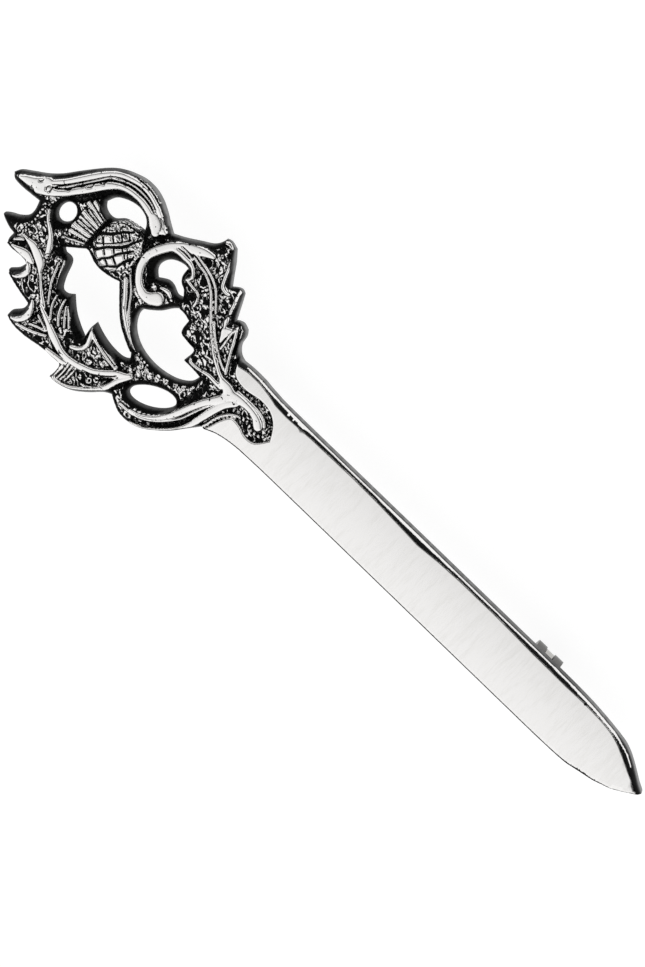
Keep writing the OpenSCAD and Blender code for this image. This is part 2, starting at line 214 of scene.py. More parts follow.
# The pointed end: rows of y, and where its left and right edges are, as parts of the blade's half width
POINT_ROWS = [
    [0.1, 0.05, -0.05], [0.35, 0.13, 0], [1, 0.25, 0.1], [2, 0.44, 0.285], [3, 0.605, 0.465],
    [4, 0.71, 0.62], [5, 0.81, 0.73], [6, 0.87, 0.785], [7, 0.93, 0.825], [8, 0.99, 0.86],
    [9, 1.02, 0.89], [11, 1.04, 0.935], [14, 1.05, 0.96], [18, 1.05, 0.97],
]
# Slope of the side where the right edge runs in to the point, more than along the blade
POINT_WALL = 0.22

# The blade's worn right shoulder: rows of y, its width, how far it drops, and how much of it is painted
# black, a painted dark reflection
SHOULDER = [
    [0, 0.6, 0.7, 0.95], [1, 0.6, 0.75, 0.9], [2, 0.66, 0.85, 0.7], [3, 0.8, 1, 0.6], [4, 0.85, 1, 0.58],
    [5, 0.8, 1, 0.55], [6, 0.55, 1, 0.5], [7, 0.38, 0.95, 0.36], [8, 0.34, 0.9, 0.32],
    [9, 0.35, 0.9, 0.34], [10, 0.4, 0.9, 0.42], [12, 0.48, 0.9, 0.5], [14, 0.58, 0.9, 0.64],
    [19, 0.56, 0.9, 0.64], [22, 0.46, 0.9, 0.62], [25, 0.38, 0.9, 0.6], [30, 0.4, 0.9, 0.56],
    [33, 0.52, 0.9, 0.56], [36, 0.8, 0.95, 0.62], [38, 0.68, 0.95, 0.6], [42, 0.48, 0.9, 0.58],
    [46, 0.4, 0.9, 0.56], [52, 0.5, 0.9, 0.62], [54, 0.62, 0.9, 0.52], [55.5, 0.7, 0.95, 0.6],
    [57.3, 0.64, 0.95, 0.68], [58.6, 0.42, 0.9, 0.5], [60, 0.36, 0.9, 0.45], [61.8, 0.38, 0.9, 0.5],
    [62.5, 0.46, 0.9, 0.85], [63.5, 0.6, 0.9, 0.95],
]
# A painted dark reflection inside the blade's eased left edge, a black line: rows of y and its width
LEFT_EDGE_REFLECTION = [[0, 0.08], [3, 0.1], [5, 0.18], [7, 0.2], [10, 0.15], [62, 0.15]]
# Painted highlights and a painted dark spot on the shoulder: x, y, half width, half height, and the shine
# there
SHOULDER_REFLECTION_SPOTS = [
    [2.93, 55.6, 0.1, 0.14, 1], [2.95, 54.85, 0.14, 0.1, 1], [3, 53.8, 0.09, 0.5, 1],
    [2.72, 11.25, 0.13, 0.17, 0],
]

# Leaf tips that thin out: x, y, how far the thinning reaches, and how much of the height goes
TIPS = [[12, 72.8, 2, 0.5], [9.1, 68.5, 1.6, 0.45], [6.5, 65.9, 1, 0.2], [0.8, 95, 1.2, 0.3]]

# Pierced openings, each a list of runs like those of the edge, as seen from the opening
OPEN_ARCH = [
    (0.75, 2.2, [[6.2, 80.5], [6.9, 80.9], [7.4, 81.6], [7.6, 82.7], [7.3, 84], [6.6, 85.1],
        [5.6, 85.6]]),
    (0.4, 2.2, [[5.6, 85.6], [5.1, 85.2], [4.8, 84.5], [4.9, 83.7], [5.7, 82.8], [6.05, 81.6],
        [6.2, 80.5]]),
]
OPEN_LEFT = [
    (0.3, 2.5, [[-1.5, 85.1], [-1.2, 85.5], [-0.8, 85.1], [0, 84.1], [0.4, 83.5], [0.2, 82.8], [-0.1, 82],
        [-0.2, 81], [0, 79.7], [0.3, 78.7]]),
    (0.3, 2.5, [[0.3, 78.7], [-0.7, 77.8], [-2, 76.6], [-3.1, 75.3], [-4, 73.7], [-4.5, 72.6]]),
    (0.5, 2.2, [[-4.5, 72.6], [-5.1, 72.3], [-5.5, 73.1], [-5.5, 74.6], [-5.2, 76.1], [-4.7, 77.5]]),
    (0.35, 2.2, [[-4.7, 77.5], [-5.6, 77.6], [-6.8, 77.4]]),
    (0.5, 2.2, [[-6.8, 77.4], [-6.2, 78.7], [-5.4, 80], [-4.2, 81.3]]),
    (0.5, 2.2, [[-4.2, 81.3], [-4.7, 82], [-4.6, 82.7], [-3.5, 83.3], [-2, 83.8], [-1.5, 84.3],
        [-1.5, 85.1]]),
]
OPEN_RIGHT = [
    (0.55, 2.2, [[2.7, 72], [2.2, 72.5], [1.2, 73.2], [0.4, 74.1], [-0.1, 74.8]]),
    (0.45, 2.2, [[-0.1, 74.8], [-0.8, 74.8], [-1.9, 74.2], [-2.8, 73.1], [-3.4, 71.6], [-3.6, 69.8],
        [-3.4, 68.1], [-2.9, 66.7], [-2.1, 65.7], [-1.1, 65.4]]),
    (0.3, 2.5, [[-1.1, 65.4], [-1, 66.6], [-1, 67.9]]),
    (0.3, 2.5, [[-1, 67.9], [0.5, 67.8], [0.7, 68.7], [0.9, 69.9], [1.4, 70.3], [2.5, 70.4]]),
    (0.35, 2.5, [[2.5, 70.4], [2.7, 71.2], [2.7, 72]]),
]
OPEN_RING = [
    (0.8, 2.2, [[6.5, 74.3], [6.5, 74.9], [6.2, 75.8], [5.6, 76.5], [4.8, 76.8], [4.1, 76.6], [3.5, 76]]),
    (0.35, 2.2, [[3.5, 76], [4.1, 75], [4.1, 74.2], [3.7, 73.2], [3.9, 72.5]]),
    (0.3, 2.5, [[3.9, 72.5], [4.6, 73.1], [5, 73.8], [5.6, 74.2], [6.5, 74.3]]),
]
# The openings, each with the painted light that makes its right and lower sides pale
OPENINGS = ((0.3, OPEN_ARCH), (0.2, OPEN_LEFT), (0.6, OPEN_RIGHT), (0.35, OPEN_RING))
# Oval openings: centre x, centre y, half length, half width, turn in degrees, wall
OVALS = [[1.8, 87.9, 1.15, 0.95, 0, 0.45], [-6.35, 67.6, 2.65, 1.15, 120, 0.5]]

# Polished ridges: top above the back, and rows of [x, y, width]
ARCH_TOP = 2.7
LEAF_TOP = 2.5
RIDGES = [
    # The arch, from its point to its foot
    (ARCH_TOP, [[1.4, 94, 0.3], [1.65, 93.4, 0.7], [1.95, 92.6, 1.05], [2.4, 91.8, 1.4], [3, 91.4, 1.2]]),
    (ARCH_TOP, [[2.75, 91.5, 0.8], [3.4, 90.92, 0.6], [4.6, 89.9, 0.52], [6.05, 88.85, 0.6],
        [7.4, 87.85, 0.66], [8.5, 86.85, 0.7], [9.18, 86, 0.6], [9.6, 85, 0.5], [9.87, 84, 0.42],
        [9.88, 83, 0.42], [9.7, 82, 0.42], [9.35, 81, 0.48], [8.95, 80.2, 0.4]]),
    (ARCH_TOP, [[1.7, 91.7, 0.7], [2.1, 91.05, 0.8], [2.65, 90.3, 0.75], [3.5, 89.45, 0.8],
        [4.5, 88.65, 0.85], [5.5, 87.85, 0.85], [6.5, 87.1, 0.8], [7.5, 86.3, 0.75], [8.2, 85.5, 0.65],
        [8.55, 84.6, 0.6], [8.7, 83.6, 0.6], [8.7, 82.8, 0.6], [8.55, 82, 0.65], [8.35, 81.1, 0.8],
        [8.15, 80.4, 1.15], [7.75, 79.8, 1.3], [7.2, 79.35, 0.8]]),
    (ARCH_TOP, [[2.2, 91.5, 1], [2.75, 91, 0.8], [3.2, 90.7, 0.3]]),
    (2.6, [[8.5, 80.6, 0.8], [8.15, 79.7, 1.3], [7.85, 79.05, 1], [7.85, 78.6, 0.4]]),
    (2.6, [[3.42, 90.15, 0.12], [4.12, 89.56, 0.13], [5.12, 88.86, 0.13], [6.12, 88.16, 0.13],
        [7.13, 87.46, 0.14], [7.95, 86.85, 0.14], [8.5, 86.1, 0.14], [8.95, 85.2, 0.14],
        [9.25, 84.2, 0.14], [9.3, 83, 0.14], [9.15, 81.8, 0.14], [8.8, 80.8, 0.14]]),
    (2.5, [[10, 85.4, 0.1], [10.15, 84.85, 0.13], [10.29, 84, 0.15], [10.3, 83, 0.13], [10.16, 82, 0.15],
        [9.83, 81, 0.13], [9.35, 80.2, 0.1]]),
    # The ring and the curl in it
    (LEAF_TOP, [[9.65, 73.1, 0.45], [9.35, 74, 0.8], [8.85, 75, 1], [8.45, 75.8, 0.9], [7.9, 76.5, 0.85],
        [7.2, 77.15, 0.85], [6.5, 77.6, 0.85], [5.6, 78.05, 0.82], [4.6, 78.28, 0.72], [3.4, 78, 0.7],
        [2.5, 77.4, 0.75], [1.8, 76.6, 0.85], [1.45, 75.8, 0.9], [1.6, 75, 1.2], [2.1, 74.4, 1.4]]),
    (LEAF_TOP, [[7.3, 76.7, 0.4], [7.45, 76, 0.45], [7.45, 75.2, 0.45], [7.4, 74.4, 0.42],
        [7.1, 73.7, 0.3], [6.5, 73.2, 0.25], [5.85, 73.45, 0.22]]),
    (2.4, [[7.9, 76.3, 0.13], [7.95, 75.4, 0.14], [7.85, 74.5, 0.14]]),
    (2.3, [[3.25, 73.5, 0.25], [3.42, 73.95, 0.42], [3.35, 74.5, 0.3], [3.2, 74.85, 0.15]]),
    # The left leaf's midrib and veins
    (LEAF_TOP, [[-2.98, 89.5, 0.15], [-3.03, 89, 0.3], [-3.05, 88.5, 0.55], [-3.1, 88, 0.75],
        [-3.3, 87.4, 0.88], [-3.6, 86.8, 0.98], [-3.95, 86.2, 0.9], [-4.4, 85.8, 0.55],
        [-4.9, 85.5, 0.3]]),
    (LEAF_TOP, [[-7.3, 83, 0.25], [-7.75, 82, 0.4], [-8.2, 81, 0.5], [-8.65, 80.1, 0.7], [-9, 79.2, 0.7],
        [-9.35, 78.2, 0.62], [-9.45, 77.2, 0.58], [-9.3, 76.1, 0.6], [-8.98, 75, 0.65], [-8.55, 74, 0.62],
        [-7.85, 73, 0.72], [-7, 72, 0.8], [-6.5, 71.3, 0.55], [-6, 70.8, 0.25]]),
    (2.3, [[-10.35, 79.3, 0.3], [-10.3, 78.3, 0.5], [-10.2, 77.4, 0.5], [-10, 76.9, 0.3]]),
    (LEAF_TOP, [[-10, 72.85, 0.2], [-9.2, 72.15, 0.4], [-8.4, 71.75, 0.45], [-7.5, 71.45, 0.45],
        [-6.7, 71, 0.4], [-6.1, 70.6, 0.25]]),
    (2.35, [[-7.2, 82.8, 0.4], [-6.6, 83.6, 0.34], [-5.95, 84.35, 0.3], [-5.35, 85, 0.3],
        [-4.8, 85.6, 0.36]]),
    (LEAF_TOP, [[-6.5, 72.6, 0.4], [-6.35, 73.4, 0.52], [-6.15, 74.3, 0.62], [-5.9, 75.2, 0.7],
        [-5.65, 76, 0.8], [-5.4, 76.7, 0.75], [-5.2, 77.1, 0.3]]),
    (LEAF_TOP, [[-8.25, 77.6, 0.3], [-8, 77.1, 0.35], [-7.55, 76.65, 0.35], [-6.9, 76.5, 0.35],
        [-6.2, 76.7, 0.4], [-5.6, 77, 0.3]]),
    (2.3, [[-4.45, 81.35, 0.13], [-5.4, 80.6, 0.13], [-6.3, 79.8, 0.13], [-7, 79.15, 0.13]]),
    (2.3, [[-7.6, 80.2, 0.13], [-6.8, 80.9, 0.14], [-5.9, 81.3, 0.15], [-5.1, 81.5, 0.15],
        [-4.5, 81.5, 0.12]]),
    (2.3, [[-7.7, 81.3, 0.12], [-6.9, 81.9, 0.13], [-6.1, 82.3, 0.13], [-5.3, 82.5, 0.12]]),
    (2.3, [[-7.3, 79.6, 0.12], [-6.4, 80.3, 0.13], [-5.5, 80.9, 0.12]]),
    (2.3, [[-1.6, 84.5, 0.22], [-2.4, 84.2, 0.16], [-3.2, 83.9, 0.15], [-4.1, 83.45, 0.16],
        [-4.8, 83.05, 0.14]]),
    (2.3, [[-2.6, 84.7, 0.13], [-3.6, 84.35, 0.14], [-4.6, 83.95, 0.14], [-5.6, 83.3, 0.13],
        [-6.6, 82.6, 0.12]]),
    # Its outer lobes
    (2.35, [[-10.4, 76.85, 0.2], [-11.2, 76.9, 0.18], [-12, 76.85, 0.22], [-12.15, 76.3, 0.22],
        [-11.9, 75.3, 0.22], [-11.35, 74.4, 0.22], [-10.6, 73.5, 0.22], [-9.9, 72.75, 0.22],
        [-9.3, 72.2, 0.2]]),
    (2.3, [[-11.8, 76.45, 0.1], [-10.9, 76.42, 0.1], [-9.9, 76.5, 0.1]]),
    (2.3, [[-11.7, 76.05, 0.1], [-10.8, 76, 0.1], [-9.8, 76.1, 0.1]]),
    (2.3, [[-11.5, 75.65, 0.1], [-10.6, 75.6, 0.1], [-9.7, 75.65, 0.1]]),
    (2.3, [[-10.5, 74.1, 0.1], [-10.2, 73.3, 0.11], [-9.5, 72.6, 0.11], [-8.9, 72.75, 0.1]]),
    (2.35, [[-10.5, 84.45, 0.2], [-10.25, 83.95, 0.4], [-9.75, 83.55, 0.55], [-9.1, 83.4, 0.58],
        [-8.5, 83.5, 0.5], [-8, 83.7, 0.35], [-7.6, 84, 0.15]]),
    (2.3, [[-10.65, 83.6, 0.14], [-10.3, 82.4, 0.16], [-9.85, 81.3, 0.16], [-9.35, 80.4, 0.14]]),
    (2.3, [[-9.7, 82.6, 0.12], [-9.35, 81.8, 0.14], [-9.05, 80.9, 0.14]]),
    (2.3, [[-8.3, 82.5, 0.13], [-8.6, 81.7, 0.14], [-8.9, 80.8, 0.12]]),
    (2.35, [[-7, 87.4, 0.2], [-6.75, 87, 0.3], [-6.2, 86.68, 0.48], [-5.6, 86.65, 0.5],
        [-5.1, 86.95, 0.35], [-4.95, 87.3, 0.2]]),
    (2.35, [[-4.7, 89.7, 0.1], [-4.58, 89.1, 0.4], [-4.45, 88.5, 0.68], [-4.38, 87.9, 0.85],
        [-4.4, 87.3, 0.72], [-4.5, 86.9, 0.4]]),
    (2.35, [[-4.1, 89.95, 0.12], [-3.7, 89.6, 0.2], [-3.4, 89.2, 0.15]]),
    # The vein across to the thistle, and the stem
    (LEAF_TOP, [[0.9, 89.3, 0.2], [0.1, 88.7, 0.25], [-0.5, 87.9, 0.32], [-1.1, 87.25, 0.42],
        [-1.8, 86.75, 0.52], [-2.4, 86.4, 0.5], [-3, 86.15, 0.4]]),
    (LEAF_TOP, [[1.3, 78.3, 0.3], [0, 77.15, 0.3], [-1.2, 76.2, 0.32], [-2.1, 75.15, 0.32],
        [-2.8, 74.1, 0.25], [-3.3, 73.1, 0.18], [-3.6, 72.2, 0.15]]),
    (2.35, [[1.9, 78.2, 0.12], [0.6, 76.9, 0.14], [-0.8, 75.9, 0.14], [-1.9, 74.9, 0.14],
        [-2.7, 73.7, 0.13], [-3.15, 72.6, 0.12]]),
    # The right leaf
    (LEAF_TOP, [[8.15, 74.5, 0.12], [7.95, 73.6, 0.16], [7.8, 72.7, 0.16], [7.5, 71.9, 0.17],
        [7, 71.05, 0.18], [6.4, 70.35, 0.19], [5.6, 69.6, 0.19], [4.9, 69, 0.19], [4.3, 68.4, 0.19],
        [3.75, 67.9, 0.17], [3.2, 67.3, 0.17], [2.65, 66.6, 0.18], [2.15, 66, 0.22], [1.75, 65.4, 0.26],
        [1.4, 64.8, 0.28], [1.1, 64.3, 0.28], [0.85, 63.8, 0.3], [0.62, 63.2, 0.34], [0.4, 62.5, 0.45]]),
    (LEAF_TOP, [[8.55, 74.4, 0.12], [8.37, 73.4, 0.17], [8.18, 72.5, 0.18], [7.9, 71.6, 0.18],
        [7.45, 70.75, 0.18], [6.9, 70.1, 0.16], [6.2, 69.45, 0.14], [5.4, 68.75, 0.12]]),
    (LEAF_TOP, [[4.6, 68.2, 0.12], [3.95, 67.55, 0.13], [3.25, 66.75, 0.14], [2.7, 66, 0.15],
        [2.25, 65.3, 0.15], [1.85, 64.6, 0.15], [1.55, 63.95, 0.13]]),
    (2.35, [[5.85, 73.45, 0.2], [5.7, 72.6, 0.2], [5.55, 71.6, 0.2], [5, 71.15, 0.18], [4.3, 71, 0.15]]),
    (2.35, [[-0.1, 67.3, 0.14], [-0.35, 67.1, 0.2], [-0.35, 66.3, 0.2], [-0.2, 65.5, 0.22],
        [-0.02, 64.7, 0.3], [-0.05, 63.8, 0.35], [-0.05, 62.9, 0.4]]),
    # Its tips
    (2.4, [[11.55, 73.1, 0.2], [11.75, 72.75, 0.32], [11.65, 72.2, 0.34], [11.35, 71.75, 0.28],
        [10.7, 71.4, 0.2], [9.8, 71, 0.17], [8.9, 70.65, 0.17], [8, 70.2, 0.2], [7.75, 69.6, 0.2],
        [7.8, 69.1, 0.15]]),
    (2.4, [[8.85, 68.45, 0.22], [8.3, 68.3, 0.22], [7.6, 68, 0.2], [6.9, 67.8, 0.18], [6.4, 67.6, 0.12]]),
    (2.35, [[5.95, 67.45, 0.12], [5.5, 67.3, 0.35], [5.05, 67.1, 0.15]]),
    (2.35, [[3.5, 66.35, 0.15], [4.1, 66.5, 0.45], [4.7, 66.62, 0.85], [5.2, 66.35, 0.25]]),
    (2.4, [[5.55, 65.75, 0.14], [4.9, 65.42, 0.2], [4.1, 65.02, 0.2], [3.1, 64.52, 0.2],
        [2.2, 64.02, 0.2], [1.4, 63.55, 0.2]]),
    (2.4, [[6.42, 66, 0.14], [6.1, 65.5, 0.2], [5.5, 65.08, 0.2], [4.85, 64.75, 0.16], [4, 64.3, 0.13],
        [3.3, 63.95, 0.12]]),
    (2.25, [[5.9, 65.95, 0.12], [5, 66, 0.12], [4, 65.9, 0.12], [3, 65.8, 0.12]]),
    # The scroll, the moat's border and the tongue
    (2.5, [[-8.75, 68.3, 0.15], [-8.5, 67.3, 0.2], [-8, 66.4, 0.3], [-7.3, 65.6, 0.4], [-6.4, 64.95, 0.6],
        [-5.3, 64.35, 0.62], [-4.3, 63.95, 0.58], [-3.3, 63.5, 0.6], [-2.3, 62.95, 0.65],
        [-0.9, 61.9, 0.9]]),
    (2.3, [[-9.05, 69.6, 0.12], [-9, 68.4, 0.14], [-8.75, 67.2, 0.15], [-8.1, 66, 0.15], [-7, 64.8, 0.15],
        [-5.6, 63.75, 0.15], [-4.2, 63.2, 0.14], [-3.2, 62.8, 0.12], [-1.8, 62.2, 0.1]]),
    (2.3, [[-4.6, 61.5, 0.14], [-3.9, 61.25, 0.17], [-3, 61.05, 0.17], [-2.2, 60.7, 0.18],
        [-1.5, 60.15, 0.18], [-1.1, 59.5, 0.16]]),
    (2.5, [[-9.75, 67.4, 0.14], [-9.3, 66.2, 0.17], [-8.5, 65.1, 0.17], [-7.5, 64, 0.2],
        [-6.5, 63.2, 0.22], [-5.4, 62.6, 0.4], [-4.2, 62.25, 0.6], [-3, 61.95, 0.68], [-1.8, 61.6, 0.72],
        [-1, 61.25, 0.72], [-0.2, 60.6, 0.7]]),
    (2.5, [[-0.9, 61.9, 0.9], [-0.1, 61.7, 1.2], [0.4, 62.3, 1], [0.6, 63.2, 0.6]]),
    (LEAF_TOP, [[0, 61.6, 1.3], [0.35, 60.6, 0.9], [0.48, 59.6, 0.62], [0.42, 58.7, 0.6],
        [0.2, 57.9, 0.7], [-0.1, 57.4, 0.85], [-0.35, 57.1, 0.8]]),
    (2.3, [[0.9, 61.2, 0.16], [0.95, 60, 0.16], [0.95, 59, 0.16], [0.85, 58, 0.16], [0.55, 57.1, 0.16],
        [0.1, 56.6, 0.14]]),
]

# Dark lines cut into the ridges: rows of [x, y, width]
GROOVES = [
    [[-9.25, 75, 0.14], [-8.9, 74, 0.2], [-8.3, 73.1, 0.22], [-7.6, 72.3, 0.2], [-7.1, 71.9, 0.14]],
    [[-8.9, 73, 0.16], [-8.3, 72.5, 0.26], [-7.7, 72.05, 0.16]],
    [[-5.5, 76.6, 0.1], [-5.85, 75.6, 0.14], [-6.1, 74.6, 0.16], [-6.3, 73.6, 0.16], [-6.45, 72.7, 0.12]],
    [[2.3, 91, 0.12], [2.6, 91.15, 0.16], [2.95, 90.95, 0.12]],
    [[2.35, 90.65, 0.12], [2.7, 90.6, 0.18], [3.05, 90.75, 0.12]],
    [[2.5, 92.15, 0.12], [2.72, 91.95, 0.16], [3, 91.95, 0.12]],
    [[3.75, 89.6, 0.12], [4, 89.2, 0.18], [4.3, 89.1, 0.12]],
    [[4.95, 88.8, 0.12], [5.25, 88.4, 0.16], [5.55, 88.25, 0.12]],
    [[5.6, 87.95, 0.12], [5.95, 87.65, 0.16], [6.35, 87.65, 0.12]],
    [[6.9, 87.15, 0.12], [7.15, 86.85, 0.16], [7.45, 86.9, 0.12]],
    [[6.4, 65.75, 0.1], [5.8, 65.4, 0.14], [5.1, 65.08, 0.14], [4.3, 64.68, 0.14], [3.5, 64.28, 0.12]],
    [[3, 90.7, 0.16], [3.35, 90.1, 0.26], [4, 89.45, 0.28], [5, 88.75, 0.28], [6, 88.05, 0.28],
     [7, 87.3, 0.3], [7.8, 86.7, 0.3], [8.3, 86, 0.28], [8.7, 85.2, 0.26], [8.95, 84.2, 0.24],
     [9.02, 83, 0.22], [8.95, 82, 0.2], [8.65, 81, 0.16]],
    [[3.3, 90.8, 0.12], [3.7, 90.3, 0.16], [4.3, 89.75, 0.15], [5.3, 89, 0.15], [6.3, 88.3, 0.15],
     [7.3, 87.6, 0.16], [8.15, 86.95, 0.16], [8.75, 86.2, 0.16], [9.2, 85.2, 0.18], [9.5, 84, 0.18],
     [9.5, 83, 0.16], [9.3, 81.9, 0.16], [9, 81, 0.14]],
    [[10.05, 85.2, 0.14], [10.15, 84.2, 0.14], [10.15, 83, 0.14], [9.95, 82, 0.14], [9.6, 81, 0.12]],
    [[7.7, 76.4, 0.14], [7.75, 75.6, 0.16], [7.7, 74.8, 0.14]],
    [[8.15, 76.2, 0.12], [8.15, 75.4, 0.15], [8.1, 74.6, 0.14]],
    [[-3.2, 89.3, 0.14], [-3.55, 88.4, 0.18], [-3.95, 87.4, 0.2], [-4.45, 86.4, 0.18], [-5.1, 85.4, 0.16],
     [-6, 84.5, 0.14], [-6.9, 83.5, 0.12]],
    [[-9.7, 82.75, 0.14], [-8.8, 82.75, 0.2], [-8, 82.8, 0.16], [-7.5, 82.9, 0.1]],
    [[-4.9, 80.75, 0.12], [-5.8, 79.95, 0.16], [-6.7, 79.2, 0.16]],
    [[3, 77.3, 0.1], [2.2, 76.6, 0.12], [2, 75.9, 0.1]],
]

# Rope and dot stretches: pitch along the curve, then rows of [x, y, width]
ROPES = [
    (0.45, [[-2.3, 89.9, 0.25], [-1, 89.8, 0.25], [0.4, 89.9, 0.25], [1.8, 89.6, 0.25]]),
    (0.5, [[-1.9, 59.8, 0.4], [-1, 59.2, 0.45], [-0.85, 58.2, 0.45], [-1.2, 57.2, 0.45], [-1, 56.2, 0.35],
        [-0.2, 55.8, 0.2], [0.7, 56.4, 0.2], [1.2, 57.4, 0.2]]),
    (0.45, [[-4.4, 61.2, 0.2], [-3.2, 60.9, 0.22], [-2.2, 60.4, 0.25], [-1.5, 59.7, 0.25]]),
    (0.55, [[1.35, 63, 0.2], [1.2, 61.8, 0.2], [1.35, 60.4, 0.2], [1.5, 59, 0.2], [1.4, 57.9, 0.2]]),
    (0.5, [[-4.6, 85.7, 0.25], [-5.4, 84.9, 0.22], [-6.2, 84.1, 0.22], [-7.1, 83.1, 0.22]]),
    (0.42, [[-4.2, 85.3, 0.18], [-5, 84.5, 0.18], [-5.9, 83.7, 0.18], [-6.8, 82.7, 0.18]]),
    (0.8, [[6.2, 69.8, 0.18], [5.3, 69, 0.2], [4.4, 68.1, 0.2], [3.4, 67.1, 0.22], [2.5, 66.1, 0.24],
        [1.7, 65, 0.22]]),
    (0.6, [[-8.5, 68, 0.3], [-8.2, 67, 0.35], [-7.7, 66.2, 0.38], [-7.1, 65.5, 0.4]]),
    (0.5, [[-3.4, 73.2, 0.25], [-3.75, 72.1, 0.25], [-3.95, 71, 0.25], [-4, 70, 0.22]]),
]

# Cut teeth along the stalk: x, y, half length, half width, turn in degrees
TEETH = [
    [-5.7, 71.15, 0.45, 0.2, 65], [-5.3, 70.35, 0.42, 0.24, 60], [-4.85, 70.8, 0.25, 0.14, 60],
    [-4.65, 69.3, 0.4, 0.28, 55], [-4.3, 68.5, 0.46, 0.24, 30], [-3.85, 67.7, 0.42, 0.24, 60],
    [-3.4, 66.7, 0.36, 0.24, 60], [-3, 65.8, 0.38, 0.22, 40], [-2.4, 65.05, 0.32, 0.16, 0],
    [-5.8, 72.5, 0.45, 0.12, 70], [-4.4, 69.9, 0.3, 0.12, 75], [-4.2, 71.5, 0.35, 0.12, 80],
]

# Ringed dots on the left leaf: x, y, radius of the ring
DOTS = [[-9.7, 73.75, 0.22], [-9.1, 73.2, 0.2], [-2.85, 86, 0.2], [-2.6, 87.4, 0.18], [-1.7, 88.3, 0.17]]

# Ground that stays black: rows of [x, y, width] along it
DARK = [
    [[-0.2, 83.9, 0.5], [1.4, 83.85, 0.5], [3, 83.9, 0.5], [4.8, 83.9, 0.6]],
    [[1.9, 75.9, 0.6], [2.9, 76.4, 0.8], [3.6, 77, 0.5]],
    [[1.5, 77.4, 0.3], [2.6, 78.4, 0.35], [4, 79, 0.5], [5, 79.2, 0.7], [6.4, 79.1, 0.8],
     [7.2, 78.5, 0.7], [7.9, 77.9, 0.4]],
    [[-1.9, 86, 0.8], [-1.7, 85.4, 1], [-1.6, 84.9, 0.5]],
    [[-0.6, 86.3, 0.7], [-0.9, 85.8, 0.6]],
    [[0.1, 87.6, 1], [0.4, 86.9, 0.5]],
    [[3.4, 88.5, 0.6], [4.4, 87.4, 0.8], [5.4, 86.7, 0.8], [6.7, 86, 0.7], [7.5, 85.2, 0.4]],
    [[-7.4, 78.2, 0.9], [-6.9, 77.8, 0.9]],
    [[-4.9, 72, 0.8], [-4.9, 71.4, 0.6]],
    [[-4.6, 64.9, 0.6], [-3.4, 64.5, 0.9], [-2, 64.1, 0.8], [-0.8, 64.4, 0.6]],
    [[-8.6, 71.3, 0.3], [-7.7, 70.9, 0.5], [-6.9, 70.5, 0.4]],
    [[4.1, 72.1, 0.6], [5, 71.9, 0.8]],
    [[10.3, 73, 0.5], [11, 72.8, 0.3]],
    [[6.1, 66.4, 0.5], [5.8, 66.9, 0.4]],
    [[2.2, 63.2, 0.5], [3, 63.7, 0.6], [3.6, 64, 0.4]],
    [[1.1, 69.4, 0.4], [1.2, 68.2, 0.4], [1.4, 67.4, 0.3]],
    [[-4.6, 90.2, 0.3], [-4, 89.9, 0.4]],
    [[-8.4, 65.7, 0.3], [-7.6, 64.6, 0.45], [-6.6, 63.75, 0.5], [-5.6, 63.2, 0.45], [-4.4, 62.8, 0.4],
     [-3.2, 62.5, 0.3]],
]

# Ground with more or less of its grain bright: x, y, reach, and the change
TONES = [
    [-1.8, 88.7, 1.8, 0.7], [-7.4, 75, 1.3, 0.35], [-1.2, 58, 1.6, 1.2], [-10, 81.5, 1.4, -0.25],
    [-6.6, 83.6, 0.8, 0.8], [-5.8, 84.4, 0.8, 0.8], [-5, 85.2, 0.8, 0.8], [4, 69.7, 1.6, 0.5],
    [6.8, 68.9, 1.6, 0.4], [8.8, 71.6, 1.5, 0.25], [6.5, 72.3, 1, 0.4], [3.8, 65.6, 1.3, 0.5],
    [1.4, 60, 1.6, 0.6], [1.5, 57.6, 1.2, 0.6], [-5, 86.2, 0.9, 0.6], [-8.7, 70.6, 1, 0.7],
    [-9.4, 69, 1.1, 0.7], [-9.3, 67.5, 1, 0.6], [-4.2, 71.2, 1.3, 0.4], [-3.3, 65.8, 1.1, 0.5],
    [0.9, 66.6, 1.1, 0.4], [2.9, 68.3, 1.2, 0.2], [7.9, 79.2, 1, 0.6],
]

# The way the stippling runs, from across the blade
LEAF_LEAN = math.radians(55)

# Sunk ground that frames the tongue on the blade, from left to right
MOAT = [
    [[-5.4, 61.7], [-4, 61], [-2.6, 60.5], [-1.6, 59.8], [-1.6, 58.6], [-2, 57.4], [-1.8, 56.2],
     [-0.5, 55.2]],
    [[-0.5, 55.2], [0.9, 56.1], [1.7, 57.3], [1.9, 58.8], [1.6, 60.6], [1.7, 62], [2.3, 63], [4, 63.8]],
]

